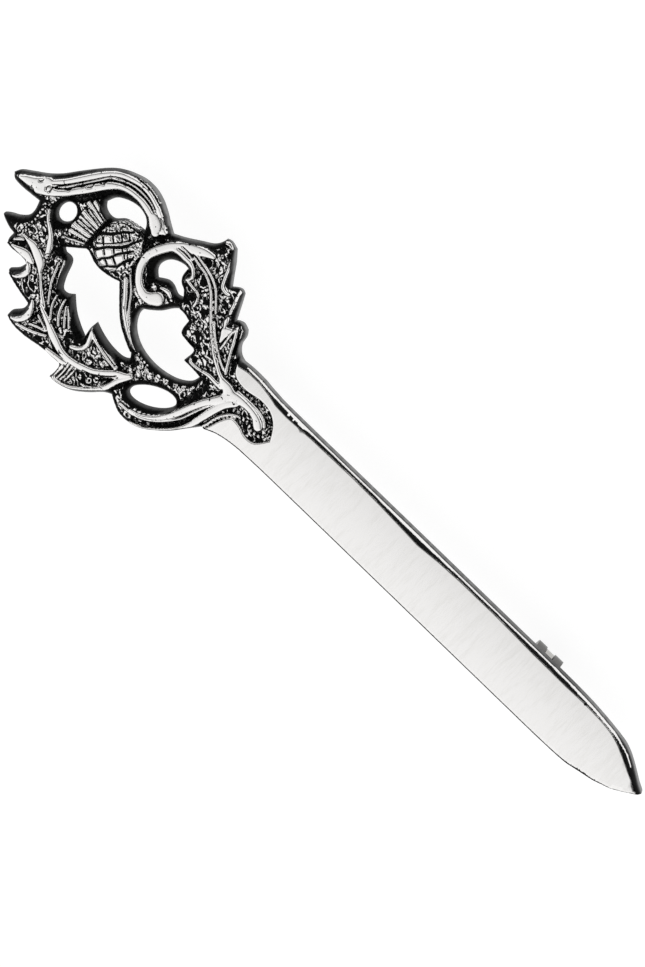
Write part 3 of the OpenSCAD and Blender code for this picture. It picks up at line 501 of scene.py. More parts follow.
# Thistle: bulb as [x, y, half width, half height] and the lines cut over it, rows of [x, y, width]
BULB = [3.3, 81.2, 2.95, 2.6]
BULB_TOP = 3.15
BULB_LINES = [
    [[0.7, 83.3, 0.2], [1.1, 83.05, 0.3], [1.7, 82.6, 0.3], [2.45, 82.05, 0.3], [3.4, 81.05, 0.34],
     [4, 80.6, 0.3], [4.8, 80.25, 0.25], [5.5, 79.9, 0.2]],
    [[2.6, 84, 0.4], [3.2, 83.4, 0.34], [3.8, 82.7, 0.34], [4.4, 82.2, 0.3], [5, 81.7, 0.25],
     [5.6, 81, 0.2]],
    [[0.4, 81.95, 0.3], [1.2, 81.6, 0.26], [1.8, 81.1, 0.26], [2.7, 80.7, 0.26], [3.4, 80.2, 0.26],
     [4.1, 79.7, 0.2]],
    [[0.5, 81, 0.25], [0.8, 80.75, 0.25], [1.2, 80.35, 0.25], [1.7, 79.85, 0.28], [2.55, 79.6, 0.28],
     [3.4, 79.2, 0.3]],
    [[1.75, 83.4, 0.12], [2.7, 82.35, 0.12], [3.7, 81.45, 0.12], [4.8, 80.6, 0.12]],
    [[1.7, 81.7, 0.16], [2.15, 82.25, 0.16]],
    [[2.55, 81.05, 0.2], [3, 81.5, 0.2]],
    [[3.3, 80.4, 0.16], [3.65, 80.95, 0.16]],
    [[1, 80.7, 0.22], [1.35, 81.35, 0.22]],
    [[1.75, 80.2, 0.24], [2.1, 80.75, 0.22]],
    [[2.9, 79.85, 0.16], [3.25, 80.2, 0.16]],
    [[2.4, 82.5, 0.22], [2.9, 83.1, 0.22]],
    [[3.3, 81.8, 0.16], [3.9, 82.5, 0.16]],
    [[4.1, 81.2, 0.16], [4.6, 81.9, 0.16]],
    [[4.7, 80.7, 0.14], [5.2, 81.3, 0.14]],
]
# Bristles: x at the foot and at the head, y of the head, width at the foot and at the head
TUFT_FOOT = 84.1
TUFT = [
    [0.95, -0.25, 86.4, 0.22, 0.34], [1.4, 0.88, 86.35, 0.34, 0.5], [1.95, 1.6, 86.5, 0.5, 0.76],
    [2.42, 2.28, 86.35, 0.3, 0.4], [2.76, 2.78, 86.5, 0.3, 0.5], [3.15, 3.38, 86.62, 0.4, 0.68],
    [3.55, 3.95, 86.3, 0.26, 0.32], [3.95, 4.5, 86.9, 0.34, 0.5], [4.35, 5.05, 86.45, 0.34, 0.46],
]


def spline(rows, per=6):
    """Points of a smooth curve through the rows; columns beyond x and y are carried along."""
    p = np.array(rows, float)
    out = []
    for i in range(len(p) - 1):
        a, b, c, d = (p[min(max(i + k, 0), len(p) - 1)] for k in (-1, 0, 1, 2))
        for t in np.arange(per) / per:
            out.append(0.5 * (2 * b + (c - a) * t + (2 * a - 5 * b + 4 * c - d) * t * t
                              + (3 * b - a - 3 * c + d) * t**3))
    return np.array([*out, p[-1]])


def resample(points, step):
    """Points at an even step along a closed line, with its corners kept; extra columns follow."""
    out = []
    for a, b in zip(points, np.roll(points, -1, axis=0)):
        parts = max(1, int(round(np.linalg.norm(b[:2] - a[:2]) / step)))
        for t in np.arange(parts) / parts:
            out.append(a + (b - a) * t)
    return np.array(out)


def smoothstep(low, high, x):
    """0 up to low and 1 from high on, with an eased slope between; low may be the greater."""
    t = np.clip((x - low) / (high - low), 0, 1)
    return t * t * (3 - 2 * t)


def read_at(y, rows):
    """The columns of a table after its first, each read where the first column is y."""
    first, *others = np.array(rows, float).T
    return [np.interp(y, first, column) for column in others]


def from_spot(points, x, y):
    """How far each point is from one spot."""
    return np.hypot(points[:, 0] - x, points[:, 1] - y)


def point_right(blade_w):
    """The pointed end's right edge, from its shoulder to the tip."""
    return spline([[row[2] * blade_w / 2, row[0]] for row in reversed(POINT_ROWS)])


def point_run(blade_w):
    """The pointed end from its right shoulder to its left, rows of [x, y]."""
    right = point_right(blade_w)
    left = [[-row[1] * blade_w / 2, row[0]] for row in POINT_ROWS[1:]]
    return np.vstack([right[:-1], spline([right[-1].tolist()] + left)])


def with_side_light(line, level, outer):
    """Adds painted side light, level where the side faces right or the tip, and how far in that reaches."""
    along = np.roll(line[:, :2], -1, axis=0) - np.roll(line[:, :2], 1, axis=0)
    area = (line[:, 0] * np.roll(line[:, 1], -1) - line[:, 1] * np.roll(line[:, 0], -1)).sum()
    turn = 1 if (area > 0) == outer else -1
    out = turn * np.column_stack([along[:, 1], -along[:, 0]])
    out /= np.maximum(np.linalg.norm(out, axis=1), 1e-9)[:, None]
    facing = np.maximum(out @ LIT_SIDE_RIGHT, out @ LIT_SIDE_DOWN)
    reach = 0.42 + 0.4 * smoothstep(0, 0.6, -out[:, 0])
    return np.column_stack([line, level * (0.06 + 0.94 * smoothstep(0.05, 0.7, facing)), reach])


def edge_loops(blade_w):
    """The outer edge and each opening as closed lines with columns x, y, wall, crown, painted side light,
    reach.
    """
    loops = []
    for level, runs in ((1.0, EDGE), *OPENINGS):
        line = []
        for wall, crown, rows in runs:
            pointed = rows == "point"
            points = point_run(blade_w) if pointed else spline(rows)
            walls = np.full((len(points), 2), (wall, crown))
            if pointed:
                right = np.arange(len(points)) < points[:, 1].argmin()
                walls[right, 0] = 0.1 + POINT_WALL * smoothstep(7, 5, points[right, 1])
            line.append(np.column_stack([points, walls])[:-1])
        line = np.vstack(line)
        loops.append(with_side_light(line, level, runs is EDGE))
    for x, y, long, short, turn, wall in OVALS:
        a = np.radians(np.arange(0, 360, 5))
        u, v = long * np.cos(a), short * np.sin(a)
        c, s = math.cos(math.radians(turn)), math.sin(math.radians(turn))
        oval = np.column_stack([x + u * c - v * s, y + u * s + v * c,
                                np.full(len(a), wall), np.full(len(a), OVAL_CROWN)])
        loops.append(with_side_light(oval, OVAL_SIDE_LIGHT, False))
    return loops


def near_line(points, line, reach, closed=False):
    """For each point: distance to a line, the line's columns there, the run along it, and the side.

    Points further than reach keep a distance of reach.
    """
    ends = np.roll(line, -1, axis=0) if closed else line[1:]
    starts = line if closed else line[:-1]
    span = ends[:, :2] - starts[:, :2]
    length = np.maximum(np.linalg.norm(span, axis=1), 1e-9)
    before = np.concatenate([[0], np.cumsum(length)[:-1]])
    count = len(points)
    best = np.full(count, float(reach))
    columns = np.tile(starts[0, 2:], (count, 1))
    run = np.zeros(count)
    side = np.ones(count)
    for block in range(0, len(starts), 24):
        pick = slice(block, block + 24)
        low = np.minimum(starts[pick, :2], ends[pick, :2]).min(0) - reach
        high = np.maximum(starts[pick, :2], ends[pick, :2]).max(0) + reach
        near = np.nonzero(((points > low) & (points < high)).all(1))[0]
        if not len(near):
            continue
        to = points[near, None, :] - starts[None, pick, :2]
        t = np.clip((to * span[pick]).sum(-1) / length[pick]**2, 0, 1)
        gap = to - t[..., None] * span[pick]
        distance = np.linalg.norm(gap, axis=-1)
        k = distance.argmin(1)
        rows = np.arange(len(near))
        found = distance[rows, k]
        better = found < best[near]
        keep, k, rows = near[better], k[better], rows[better]
        best[keep] = found[better]
        part = t[rows, k][:, None]
        a, b = starts[pick][k], ends[pick][k]
        columns[keep] = a[:, 2:] * (1 - part) + b[:, 2:] * part
        run[keep] = before[pick][k] + part[:, 0] * length[pick][k]
        side[keep] = np.sign(span[pick][k, 0] * to[rows, k, 1] - span[pick][k, 1] * to[rows, k, 0])
    return best, columns, run, side


def near_curve(points, rows, reach):
    """For each point: distance to a drawn curve, its half width there, the run along it, and the side."""
    distance, columns, run, side = near_line(points, spline(rows), reach)
    return distance, columns[:, 0] / 2, run, side


def edge_distance(points, loops, reach=1.6):
    """Distance in from the nearest edge, with that edge's wall, crown, painted side light and how far that
    light reaches.
    """
    best = np.full(len(points), float(reach))
    columns = np.tile([0.3, 2.5, 0.1, 0.4], (len(points), 1))
    for line in loops:
        distance, found, _, _ = near_line(points, line, reach, closed=True)
        closer = distance < best
        best[closer] = distance[closer]
        columns[closer] = found[closer]
    return best, *columns.T


def inside(points, loops):
    """True where a point is in the metal, by counting the edges to its right."""
    hits = np.zeros(len(points), int)
    for line in loops:
        for a, b in zip(line[:, :2], np.roll(line[:, :2], -1, axis=0)):
            if a[1] == b[1]:
                continue
            low, high = (a, b) if a[1] < b[1] else (b, a)
            rows = np.nonzero((points[:, 1] >= low[1]) & (points[:, 1] < high[1]))[0]
            cross = low[0] + (points[rows, 1] - low[1]) * (high[0] - low[0]) / (high[1] - low[1])
            hits[rows[cross > points[rows, 0]]] += 1
    return hits % 2 == 1


def lattice(low, high, step):
    """Staggered rows of points over a rectangle."""
    rows = np.arange(low[1], high[1], step * math.sqrt(3) / 2)
    across = np.arange(low[0], high[0], step)
    x, y = np.meshgrid(across, rows)
    x = x + (np.arange(len(rows)) % 2)[:, None] * step / 2
    return np.column_stack([x.ravel(), y.ravel()])


def wave(points, pitch, seed, stretch=1.0):
    """Smooth noise from about -1 to 1 over the points, drawn out along the stippling by stretch.

    Each seed reads another part of the noise.
    """
    c, s = math.cos(LEAF_LEAN), math.sin(LEAF_LEAN)
    u = (points[:, 0] * c + points[:, 1] * s) / (pitch * stretch) + 7.3 * seed
    v = (points[:, 1] * c - points[:, 0] * s) / pitch - 3.1 * seed
    return np.array([noise.noise(Vector((a, b, 1.7 * seed))) for a, b in zip(u, v)])


def moat_line():
    """The middle of the moat, from left to right."""
    return np.vstack([spline(run)[:-1] for run in MOAT] + [np.array([MOAT[1][-1]], float)])


def on_blade(points):
    """How far a point is on the blade's side of the moat, negative in the thistle head."""
    line = moat_line()
    ring = np.vstack([[[-9, -1], [-9, 61.7]], line, [[9, 63.8], [9, -1]]])
    within = inside(points, [ring])
    distance = near_line(points, line, 3.0)[0]
    return np.where(within, distance, -distance)


def leaf_ground(points, sink, wall, settings):
    """Height of the stippled ground, its share of bright grain, and the noise that shapes it."""
    grain = wave(points, settings.grain_pitch, 1, 1.5)
    fine = wave(points, 0.6 * settings.grain_pitch, 4)
    worm = smoothstep(0.28, 0.12, np.abs(grain + 0.35 * fine))
    bright = wave(points, 0.8, 3)
    for x, y, reach, change in TONES:
        bright = bright + change * smoothstep(reach, 0.3 * reach, from_spot(points, x, y))
    deep = smoothstep(0.02, 0.3, sink - wall)
    height = settings.ground + 0.1 * wave(points, 1.6, 2) + settings.grain_height * worm
    height = height - HOLLOW * (1 - deep)
    level = np.clip(0.43 + 0.45 * bright, 0.12, 0.85) * deep
    for rows in DARK:
        distance, half, _, _ = near_curve(points, rows, 1.2)
        hollow = smoothstep(1.3, 0.6, distance / half)
        height = height - HOLLOW * hollow
        level = level * (1 - 0.85 * hollow)
    return height, level, grain


def add_ridges(points, height, room):
    """Ridges, ropes and teeth: the height, what stands up, and the share of grain left beside them.

    room is how far a point is in from the foot of the side wall.
    """
    raised = np.zeros(len(points))
    shade = np.ones(len(points))
    for top, rows in RIDGES:
        distance, half, _, _ = near_curve(points, rows, 1.6)
        fall = np.clip((distance - half + 0.02) / RIDGE_SIDE, 0, 1)
        crest = top - 0.03 * np.clip(distance / half, 0, 1)**4
        height = np.where(fall < 1, np.maximum(height, crest - (crest - height) * fall**1.3), height)
        raised = np.maximum(raised, smoothstep(0.09, 0.02, distance - half))
        shade = np.minimum(shade, smoothstep(0.08, 0.22, distance - half))
    lift = STAND * smoothstep(-0.1, 0.5, room) * (1 - raised)
    small = []
    for pitch, rows in ROPES:
        distance, half, run, side = near_curve(points, rows, 1.2)
        beat = 0.5 + 0.5 * np.cos(2 * math.pi * (run / pitch + side * distance * 0.6))
        body = smoothstep(1.05, 0.7, distance / half) * smoothstep(0.25, 0.6, beat)
        small.append((body, smoothstep(0.0, 0.2, distance - half)))
    for tooth in TEETH:
        off = oval_part(points, *tooth)
        small.append((smoothstep(1.12, 0.82, off), smoothstep(1, 1.5, off)))
    for body, clear in small:
        height = height + lift * body
        raised = np.maximum(raised, body)
        shade = np.minimum(shade, clear)
    return height, raised, shade


def relief(points, sink, wall, crown, settings):
    """Height above the back, share of polish with the blade's painted dark reflections, and share of bright
    grain at each point.

    sink is the distance in from the nearest edge.
    """
    height, level, grain = leaf_ground(points, sink, wall, settings)
    height, raised, shade = add_ridges(points, height, sink - wall)
    speck = smoothstep(0.45, 0.6, wave(points, 0.3, 5))
    polish_and_painted_reflection = raised * (1 - 0.7 * speck)
    level = level * shade
    for rows in GROOVES:
        distance, half, _, _ = near_curve(points, rows, 1.0)
        cut = np.exp(-(distance / half)**2)
        height = height - HOLLOW * cut
        polish_and_painted_reflection = polish_and_painted_reflection * (1 - cut)
        level = level * (1 - cut)
    for x, y, radius in DOTS:
        off = from_spot(points, x, y) / radius
        height = height - 0.3 * smoothstep(0.7, 0.3, off)
        ring = smoothstep(1.6, 1.2, off) * smoothstep(0.45, 0.75, off)
        polish_and_painted_reflection = np.where(off < 2.1, ring, polish_and_painted_reflection)
        level = level * smoothstep(1.9, 2.2, off)
    height, polish_and_painted_reflection, level = add_thistle(points, height, polish_and_painted_reflection, level, grain)
    blade = on_blade(points)
    face, shine = blade_face(points, sink, blade, settings)
    height = np.where(blade < 0, height, face)
    # On the blade the polish share carries the painted dark reflections of its edges
    polish_and_painted_reflection = np.where(blade < 0, polish_and_painted_reflection, shine)
    level = np.where(blade < 0, level, 0)
    for x, y, reach, share in TIPS:
        height = height * (1 - share * smoothstep(reach, 0, from_spot(points, x, y)))
    height = height * (1 - (1 - np.clip(sink / wall, 0, 1))**crown)**(1 / crown)
    polish_and_painted_reflection = polish_and_painted_reflection * smoothstep(0.75, 1.0, sink / wall)
    return height, polish_and_painted_reflection, level


def blade_face(points, sink, blade, settings):
    """The blade's crowned face with its lip at the moat, worn right shoulder and eased left edge, with
    painted dark reflections on both edges.
    """
    x, y = points.T
    lip = smoothstep(0.0, 0.14, blade)
    height = FACE - LIP * (1 - lip) - CROWNING * (x / CROWNED_HALF)**2
    width, drop, dark_reflection = read_at(y, SHOULDER)
    edge = np.vstack([spline(BLADE_RIGHT)[:-1], point_right(settings.blade_w)])
    reach = near_line(points, edge, 1.2)[0]
    part = np.clip(1 - reach / width, 0, 1)
    height = height - drop * part**1.7
    wander = 0.04 * wave(points, 2.2, 8)
    # Painted dark reflection: the shoulder's inner band is painted black, with the metal bright again at
    # the very edge
    shade = smoothstep(dark_reflection + 0.04, dark_reflection - 0.02, part + wander)
    shine = 1 - smoothstep(0.02, 0.1, part + wander * 0.3) * shade
    left = sink < reach - 0.01
    line, = read_at(y, LEFT_EDGE_REFLECTION)
    height = height - np.where(left, EASING * np.clip(1 - sink / (line + 0.05), 0, 1)**2, 0)
    # Painted dark reflection: a black line inside the eased left edge
    shine = shine * np.where(left, smoothstep(line, line + 0.07, sink), 1)
    # Painted highlights and a painted dark spot on the shoulder
    for *oval, level in SHOULDER_REFLECTION_SPOTS:
        mark = smoothstep(1.15, 0.8, oval_part(points, *oval, 0))
        shine = shine * (1 - mark) + level * mark
    return height, shine * lip


def oval_part(points, x, y, long, short, turn):
    """How far each point is from an oval's middle, as a part of the way to its edge."""
    c, s = math.cos(math.radians(turn)), math.sin(math.radians(turn))
    u = ((points[:, 0] - x) * c + (points[:, 1] - y) * s) / long
    v = ((points[:, 1] - y) * c - (points[:, 0] - x) * s) / short
    return (np.abs(u)**2.5 + np.abs(v)**2.5)**0.4


def add_thistle(points, height, polish_and_painted_reflection, level, grain):
    """The bulb with lines cut over it, and the fan of bristles above it."""
    x, y = points.T
    bx, by, rx, ry = BULB
    q = np.sqrt(((x - bx) / rx)**2 + ((y - by) / ry)**2)
    dome = THISTLE_FOOT + (BULB_TOP - THISTLE_FOOT) * np.sqrt(np.clip(1 - q**2, 0, 1))
    cut = np.zeros(len(points))
    for rows in BULB_LINES:
        distance, half, _, _ = near_curve(points, rows, 0.8)
        cut = np.maximum(cut, smoothstep(0.1, -0.06, distance - half))
    body = smoothstep(1.02, 0.94, q)
    # The casting is rough on the bulb's right, and at its foot and its head
    mess = smoothstep(2.6, 4.2, x) * 0.8 + smoothstep(80.4, 79.4, y)
    mess = np.clip(mess + smoothstep(82.7, 83.3, y), 0, 1)
    rough = smoothstep(0.05, 0.25, np.abs(grain))
    top = dome - BULB_CUT * cut - 0.07 * mess * rough
    height = np.where(body > 0, height * (1 - body) + np.maximum(height, top) * body, height)
    shine = (1 - cut) * smoothstep(1.0, 0.9, q) * (1 - 0.85 * mess * rough)
    polish_and_painted_reflection = polish_and_painted_reflection * (1 - body) + shine * body
    level = level * (1 - body) + 0.5 * mess * (1 - cut) * body
    for foot, head, end, foot_w, head_w in TUFT:
        t = np.clip((y - TUFT_FOOT) / (end - TUFT_FOOT), 0, 1)
        half = (foot_w + (head_w - foot_w) * t) / 2
        across = x - foot - (head - foot) * t
        offset = np.abs(across)
        over = np.maximum(offset - half, np.maximum(TUFT_FOOT - y, y - end + (offset / half)**2 * 0.08))
        strand = smoothstep(0.06, -0.04, over)
        thread = 0.5 + 0.5 * np.cos(2 * math.pi * across / THREAD + 3 * grain)
        height = np.maximum(height, (THISTLE_FOOT + STRAND * strand - 0.05 * thread) * (strand > 0))
        polish_and_painted_reflection = np.maximum(polish_and_painted_reflection * (1 - smoothstep(0.2, 0.05, over)), strand * (1 - 0.4 * thread))
        level = level * smoothstep(0.05, 0.2, over)
    return height, polish_and_painted_reflection, level


def edge_rings(line):
    """Points beside one edge at each of the rings, rows of x, y and how far from the edge they lie."""
    before = line[:, :2] - np.roll(line[:, :2], 1, axis=0)
    after = np.roll(line[:, :2], -1, axis=0) - line[:, :2]
    rings = []
    for a, b, row in zip(before, after, line):
        corner = abs(a[0] * b[1] - a[1] * b[0]) > 0.25 * np.linalg.norm(a) * np.linalg.norm(b)
        for t in np.linspace(0, 1, 4 if corner else 1):
            d = a / np.linalg.norm(a) * (1 - t) + b / np.linalg.norm(b) * t
            n = np.array([-d[1], d[0]]) / max(np.linalg.norm(d), 1e-6)
            for sign in (-1, 1):
                for part in RING_PARTS:
                    rings.append([*(row[:2] + sign * n * row[2] * part), row[2] * part])
    return rings


def by_side(points, right, left):
    """One value for points on the blade's right and another for those on its left."""
    return np.where(points[:, 0] > 0.05 * points[:, 1], right, left)


def casting_points(loops, settings):
    """Edge points, then rings beside the edge and lattice points over the face."""
    edges = [resample(line, EDGE_STEP) for line in loops]
    low, high = edges[0][:, :2].min(0), edges[0][:, :2].max(0)
    split = (high[0], HEAD_FROM)
    parts = (lattice((low[0], HEAD_FROM), high, settings.fine_step), lattice(low, split, BLADE_STEP),
             lattice(low, split, EDGING_STEP))
    head, blade, edging = (part[inside(part, loops)] for part in parts)
    edging = edging[edge_distance(edging, loops)[0] < by_side(edging, 0.95, 0.25)]
    blade = blade[edge_distance(blade, loops)[0] > by_side(blade, 1.05, 0.3)]
    cloud = np.vstack([head, blade, edging])
    sink, wall = edge_distance(cloud, loops)[:2]
    gap = np.abs(sink[:, None] - wall[:, None] * RING_PARTS).min(1)
    room = np.where(cloud[:, 1] > HEAD_FROM, 0.4 * settings.fine_step, 0.04)
    cloud = cloud[(sink > 0.04) & (gap > room)]
    rings = np.array([row for line in edges for row in edge_rings(line)])
    sink = edge_distance(rings[:, :2], loops, 1.2)[0]
    keep = (np.abs(sink - rings[:, 2]) < 0.012) & inside(rings[:, :2], loops)
    rings = thin_out(rings[keep, :2], LEAST_STEP)
    return edges, np.vstack([rings, cloud])


def back_points(loops):
    """Points over the back, clear of its edge."""
    low, high = loops[0][:, :2].min(0), loops[0][:, :2].max(0)
    cloud = lattice(low, high, BACK_STEP)
    cloud = cloud[inside(cloud, loops)]
    return cloud[edge_distance(cloud, loops)[0] > 0.2]


def thin_out(points, gap):
    """One point for each small cell of a grid."""
    cell = np.floor(points / gap).astype(int)
    _, first = np.unique(cell, axis=0, return_index=True)
    return points[np.sort(first)]


def triangles(edges, extra):
    """Triangles of the metal's plan, as points and rows of three indices."""
    faces, start = [], 0
    for line in edges:
        x, y = line[:, 0], line[:, 1]
        area = (x * np.roll(y, -1) - y * np.roll(x, -1)).sum()
        face = list(range(start, start + len(line)))
        faces.append(face if area > 0 else face[::-1])
        start += len(line)
    flat = np.vstack([*(line[:, :2] for line in edges), extra])
    points, _, made, _, _, owners = delaunay_2d_cdt([Vector(p) for p in flat], [], faces, 1, 1e-6)
    kept = [face for face, owner in zip(made, owners) if set(owner) == {0}]
    return np.array([list(p) for p in points]), np.array(kept)


def painted_side_light(plan, sink, wall, side_light, reach):
    """Painted light on the side walls: how pale they are at each point."""
    side = side_light * smoothstep(reach, 0.1 * reach, sink / wall) * (1 + 0.5 * wave(plan, 0.45, 9))
    side = side * read_at(plan[:, 1], SIDE_LIGHT_ROWS)[0]
    for x, y, far, share in SIDE_LIGHT_SPOTS:
        side = side * (1 - (1 - share) * smoothstep(far, 0.8 * far, from_spot(plan, x, y)))
    return np.clip(side, 0, 1)


def store(mesh, name, values):
    """Keeps a value for each point of the mesh, for the material to read."""
    layer = mesh.attributes.new(name, "FLOAT", "POINT")
    layer.data.foreach_set("value", np.asarray(values, np.float32))


def smooth_over(mesh, corner):
    """Smooth shading, up to edges that turn by more than the corner's angle."""
    mesh.polygons.foreach_set("use_smooth", [True] * len(mesh.polygons))
    mesh.validate()
    mesh.update()
    mesh.set_sharp_from_angle(angle=math.radians(corner))


def build_casting(settings):
    """The blade and the thistle head as one closed mesh with a flat back."""
    loops = edge_loops(settings.blade_w)
    edges, cloud = casting_points(loops, settings)
    rim_count = sum(len(line) for line in edges)
    plan, front = triangles(edges, cloud)
    sink, wall, crown, side_light, reach = edge_distance(plan, loops)
    sink[:rim_count] = 0
    height, polish_and_painted_reflection, grain = relief(plan, sink, wall, crown, settings)
    height[:rim_count] = 0
    polish_and_painted_reflection[:rim_count] = 0
    back_plan, back = triangles(edges, back_points(loops))
    if len(back_plan) < rim_count:
        raise RuntimeError("the casting's edge crosses itself")
    inner = back_plan[rim_count:]
    inner_sink = edge_distance(inner, loops)[0]
    hollow = smoothstep(0.1, 0.7, inner_sink) * (0.03 + 0.025 * wave(inner, 1.7, 6))
    points = np.vstack([np.column_stack([plan, height]), np.column_stack([inner, hollow])])
    back = np.where(back < rim_count, back, back + len(plan) - rim_count)
    faces = [list(f) for f in front] + [list(f[::-1]) for f in back]
    mesh = bpy.data.meshes.new("thistle_casting")
    mesh.from_pydata(to_frame(points).tolist(), [], faces)
    # side holds the painted light on the side walls, and polish also carries the blade's painted dark
    # reflections
    looks = {"polish_and_painted_reflection": polish_and_painted_reflection, "grain": grain, "side": painted_side_light(plan, sink, wall, side_light, reach),
             "blade": smoothstep(-0.02, 0.1, on_blade(plan))}
    for name, values in looks.items():
        store(mesh, name, np.concatenate([values, np.zeros(len(inner))]))
    mesh.polygons.foreach_set("material_index", [0] * len(front) + [1] * len(back))
    smooth_over(mesh, CAST_CORNER)
    return new_object("thistle_casting", mesh)


def new_object(name, mesh):
    """An object in the scene that shows the mesh."""
    piece = bpy.data.objects.new(name, mesh)
    bpy.context.scene.collection.objects.link(piece)
    return piece


def prism(outline, low, high):
    """Closed solid with an outline of [x, z] from low to high along y."""
    form = bmesh.new()
    ends = [[form.verts.new((x, y, z)) for x, z in outline] for y in (low, high)]
    form.faces.new(ends[0])
    form.faces.new(ends[1][::-1])
    for i in range(len(outline)):
        k = (i + 1) % len(outline)
        form.faces.new((ends[0][i], ends[1][i], ends[1][k], ends[0][k]))
    return form


def lathe(rows, turns, closed=False):
    """Solid of revolution about y. Rows are [y, radius], and closed rows leave a bore."""
    form = bmesh.new()
    rings = []
    for y, radius in rows:
        if radius == 0:
            rings.append([form.verts.new((0, y, 0))])
            continue
        angles = [2 * math.pi * i / turns for i in range(turns)]
        rings.append([form.verts.new((radius * math.cos(a), y, radius * math.sin(a))) for a in angles])
    pairs = list(zip(rings, rings[1:] + rings[:1] if closed else rings[1:]))
    for a, b in pairs:
        for i in range(turns):
            k = (i + 1) % turns
            corners = [a[i % len(a)], b[i % len(b)], b[k % len(b)], a[k % len(a)]]
            form.faces.new(list(dict.fromkeys(corners)))
    return form


def place(form, origin, turn=None):
    """Turns a solid about the origin and carries it to its place in the blade's frame."""
    if turn is not None:
        form.transform(turn)
    form.transform(Matrix.Translation(origin))
    return form


def arc(radius, start, end, steps, centre=(0, 0)):
    """Points on an arc from one angle in degrees to another."""
    return [(centre[0] + radius * math.cos(math.radians(a)), centre[1] + radius * math.sin(math.radians(a)))
            for a in np.linspace(start, end, steps)]


def fuse(name, material, forms, cuts=(), bevel=0.0, segments=0):
    """One closed piece in the frame's metres: solids joined, others cut out, and edges rounded."""
    pieces = []
    for form in [*forms, *cuts]:
        bmesh.ops.recalc_face_normals(form, faces=form.faces)
        mesh = bpy.data.meshes.new("part")
        form.to_mesh(mesh)
        form.free()
        pieces.append(new_object("part", mesh))
    body = pieces[0]
    for i, other in enumerate(pieces[1:], 1):
        join = body.modifiers.new("join", "BOOLEAN")
        join.operation = "UNION" if i < len(forms) else "DIFFERENCE"
        join.solver = "EXACT"
        join.object = other
    if bevel:
        edge = body.modifiers.new("edge", "BEVEL")
        edge.width = bevel
        edge.segments = segments
        edge.limit_method = "ANGLE"
        edge.angle_limit = math.radians(32)
    mesh = bpy.data.meshes.new_from_object(body.evaluated_get(bpy.context.evaluated_depsgraph_get()))
    for other in pieces:
        bpy.data.meshes.remove(other.data)
    mesh.name = name
    points = np.empty(len(mesh.vertices) * 3)
    mesh.vertices.foreach_get("co", points)
    mesh.vertices.foreach_set("co", to_frame(points.reshape(-1, 3)).ravel())
    mesh.materials.append(material)
    smooth_over(mesh, CLASP_CORNER)
    add_wear(mesh)
    return new_object(name, mesh)


def add_wear(mesh):
    """Stores how sharply each point stands out, from 0 on flats and hollows to 1 on edges."""
    form = bmesh.new()
    form.from_mesh(mesh)
    wear = np.zeros(len(form.verts), np.float32)
    for edge in form.edges:
        if len(edge.link_faces) == 2:
            turn = edge.calc_face_angle_signed(0)
            for vert in edge.verts:
                wear[vert.index] = max(wear[vert.index], min(turn / 0.7, 1))
    form.free()
    store(mesh, "wear", wear)


def solder_bead(half_x, half_y, depth):
    """A low mound of solder on the back, flat against it."""
    rows = [(1.0, 0.05), (1.0, 0.0), (0.93, -0.35), (0.82, -0.7), (0.6, -0.92), (0.3, -1.0), (0, -1.0)]
    form = bmesh.new()
    turns = 36
    rings = []
    for part, drop in rows:
        z = drop if drop > 0 else drop * depth
        count = turns if part else 1
        ring = []
        for i in range(count):
            a = 2 * math.pi * i / turns
            swell = 1 + 0.06 * math.sin(3 * a + 1) + 0.04 * math.sin(5 * a)
            ring.append(form.verts.new((half_x * part * swell * math.cos(a),
                                        half_y * part * swell * math.sin(a), z)))
        rings.append(ring)
    form.faces.new(rings[0])
    for a, b in zip(rings, rings[1:]):
        for i in range(turns):
            k = (i + 1) % turns
            form.faces.new(list(dict.fromkeys([a[i], a[k], b[k % len(b)], b[i % len(b)]])))
    return form


def hinge_outer(clasp):
    """From the hinge's middle to the outside of an ear."""
    return clasp.barrel_w / 2 + EAR_GAP + clasp.ear_t


def build_hinge_bracket(clasp):
    """Plate soldered to the back, with two rounded ears for the rivet."""
    outer = hinge_outer(clasp)
    forms = [solder_bead(outer + 0.35, 2.35, 0.28)]
    place(forms[0], (HINGE_AT[0], HINGE_AT[1] - 0.4, 0))
    plate = prism([(-outer, SUNK), (-outer, -PLATE_T), (outer, -PLATE_T), (outer, SUNK)], PLATE_FROM,
                  PLATE_TO)
    forms.append(place(plate, (HINGE_AT[0], HINGE_AT[1], 0)))
    plate_z = NEEDLE_DEPTH - PLATE_T
    ear = [(-EAR_R - 0.25, plate_z), (-EAR_R, plate_z - 0.35), *arc(EAR_R, 180, 360, 25),
           (EAR_R, plate_z - 0.35), (EAR_R + 0.1, plate_z), (EAR_R + 0.1, NEEDLE_DEPTH - 0.2),
           (-EAR_R - 0.25, NEEDLE_DEPTH - 0.2)]
    for low in (-outer, outer - clasp.ear_t):
        forms.append(place(prism(ear, -low - clasp.ear_t, -low), HINGE_AT, QUARTER_TURN))
    bore = lathe([(-4, 0), (-4, RIVET_R + RIVET_PLAY), (4, RIVET_R + RIVET_PLAY), (4, 0)], 24)
    place(bore, HINGE_AT, QUARTER_TURN)
    return fuse("hinge_bracket", clasp_silver(clasp), forms, [bore], 0.09, 3)


def build_hinge_rivet(clasp):
    """Rivet with a domed head on each ear."""
    outer = hinge_outer(clasp) + RIVET_PLAY
    turns = np.linspace(0.25, math.pi / 2, 8)
    dome = [(RIVET_HEAD_T * math.sin(t), RIVET_HEAD_R * math.cos(t)) for t in turns]
    dome[-1] = (RIVET_HEAD_T, 0)
    right = [(outer, RIVET_R), (outer, RIVET_HEAD_R * 0.97)] + [(outer + a, r) for a, r in dome]
    rows = [(-y, r) for y, r in reversed(right)] + right
    return fuse("rivet_pin", nickel(clasp), [place(lathe(rows, 32), HINGE_AT, QUARTER_TURN)])


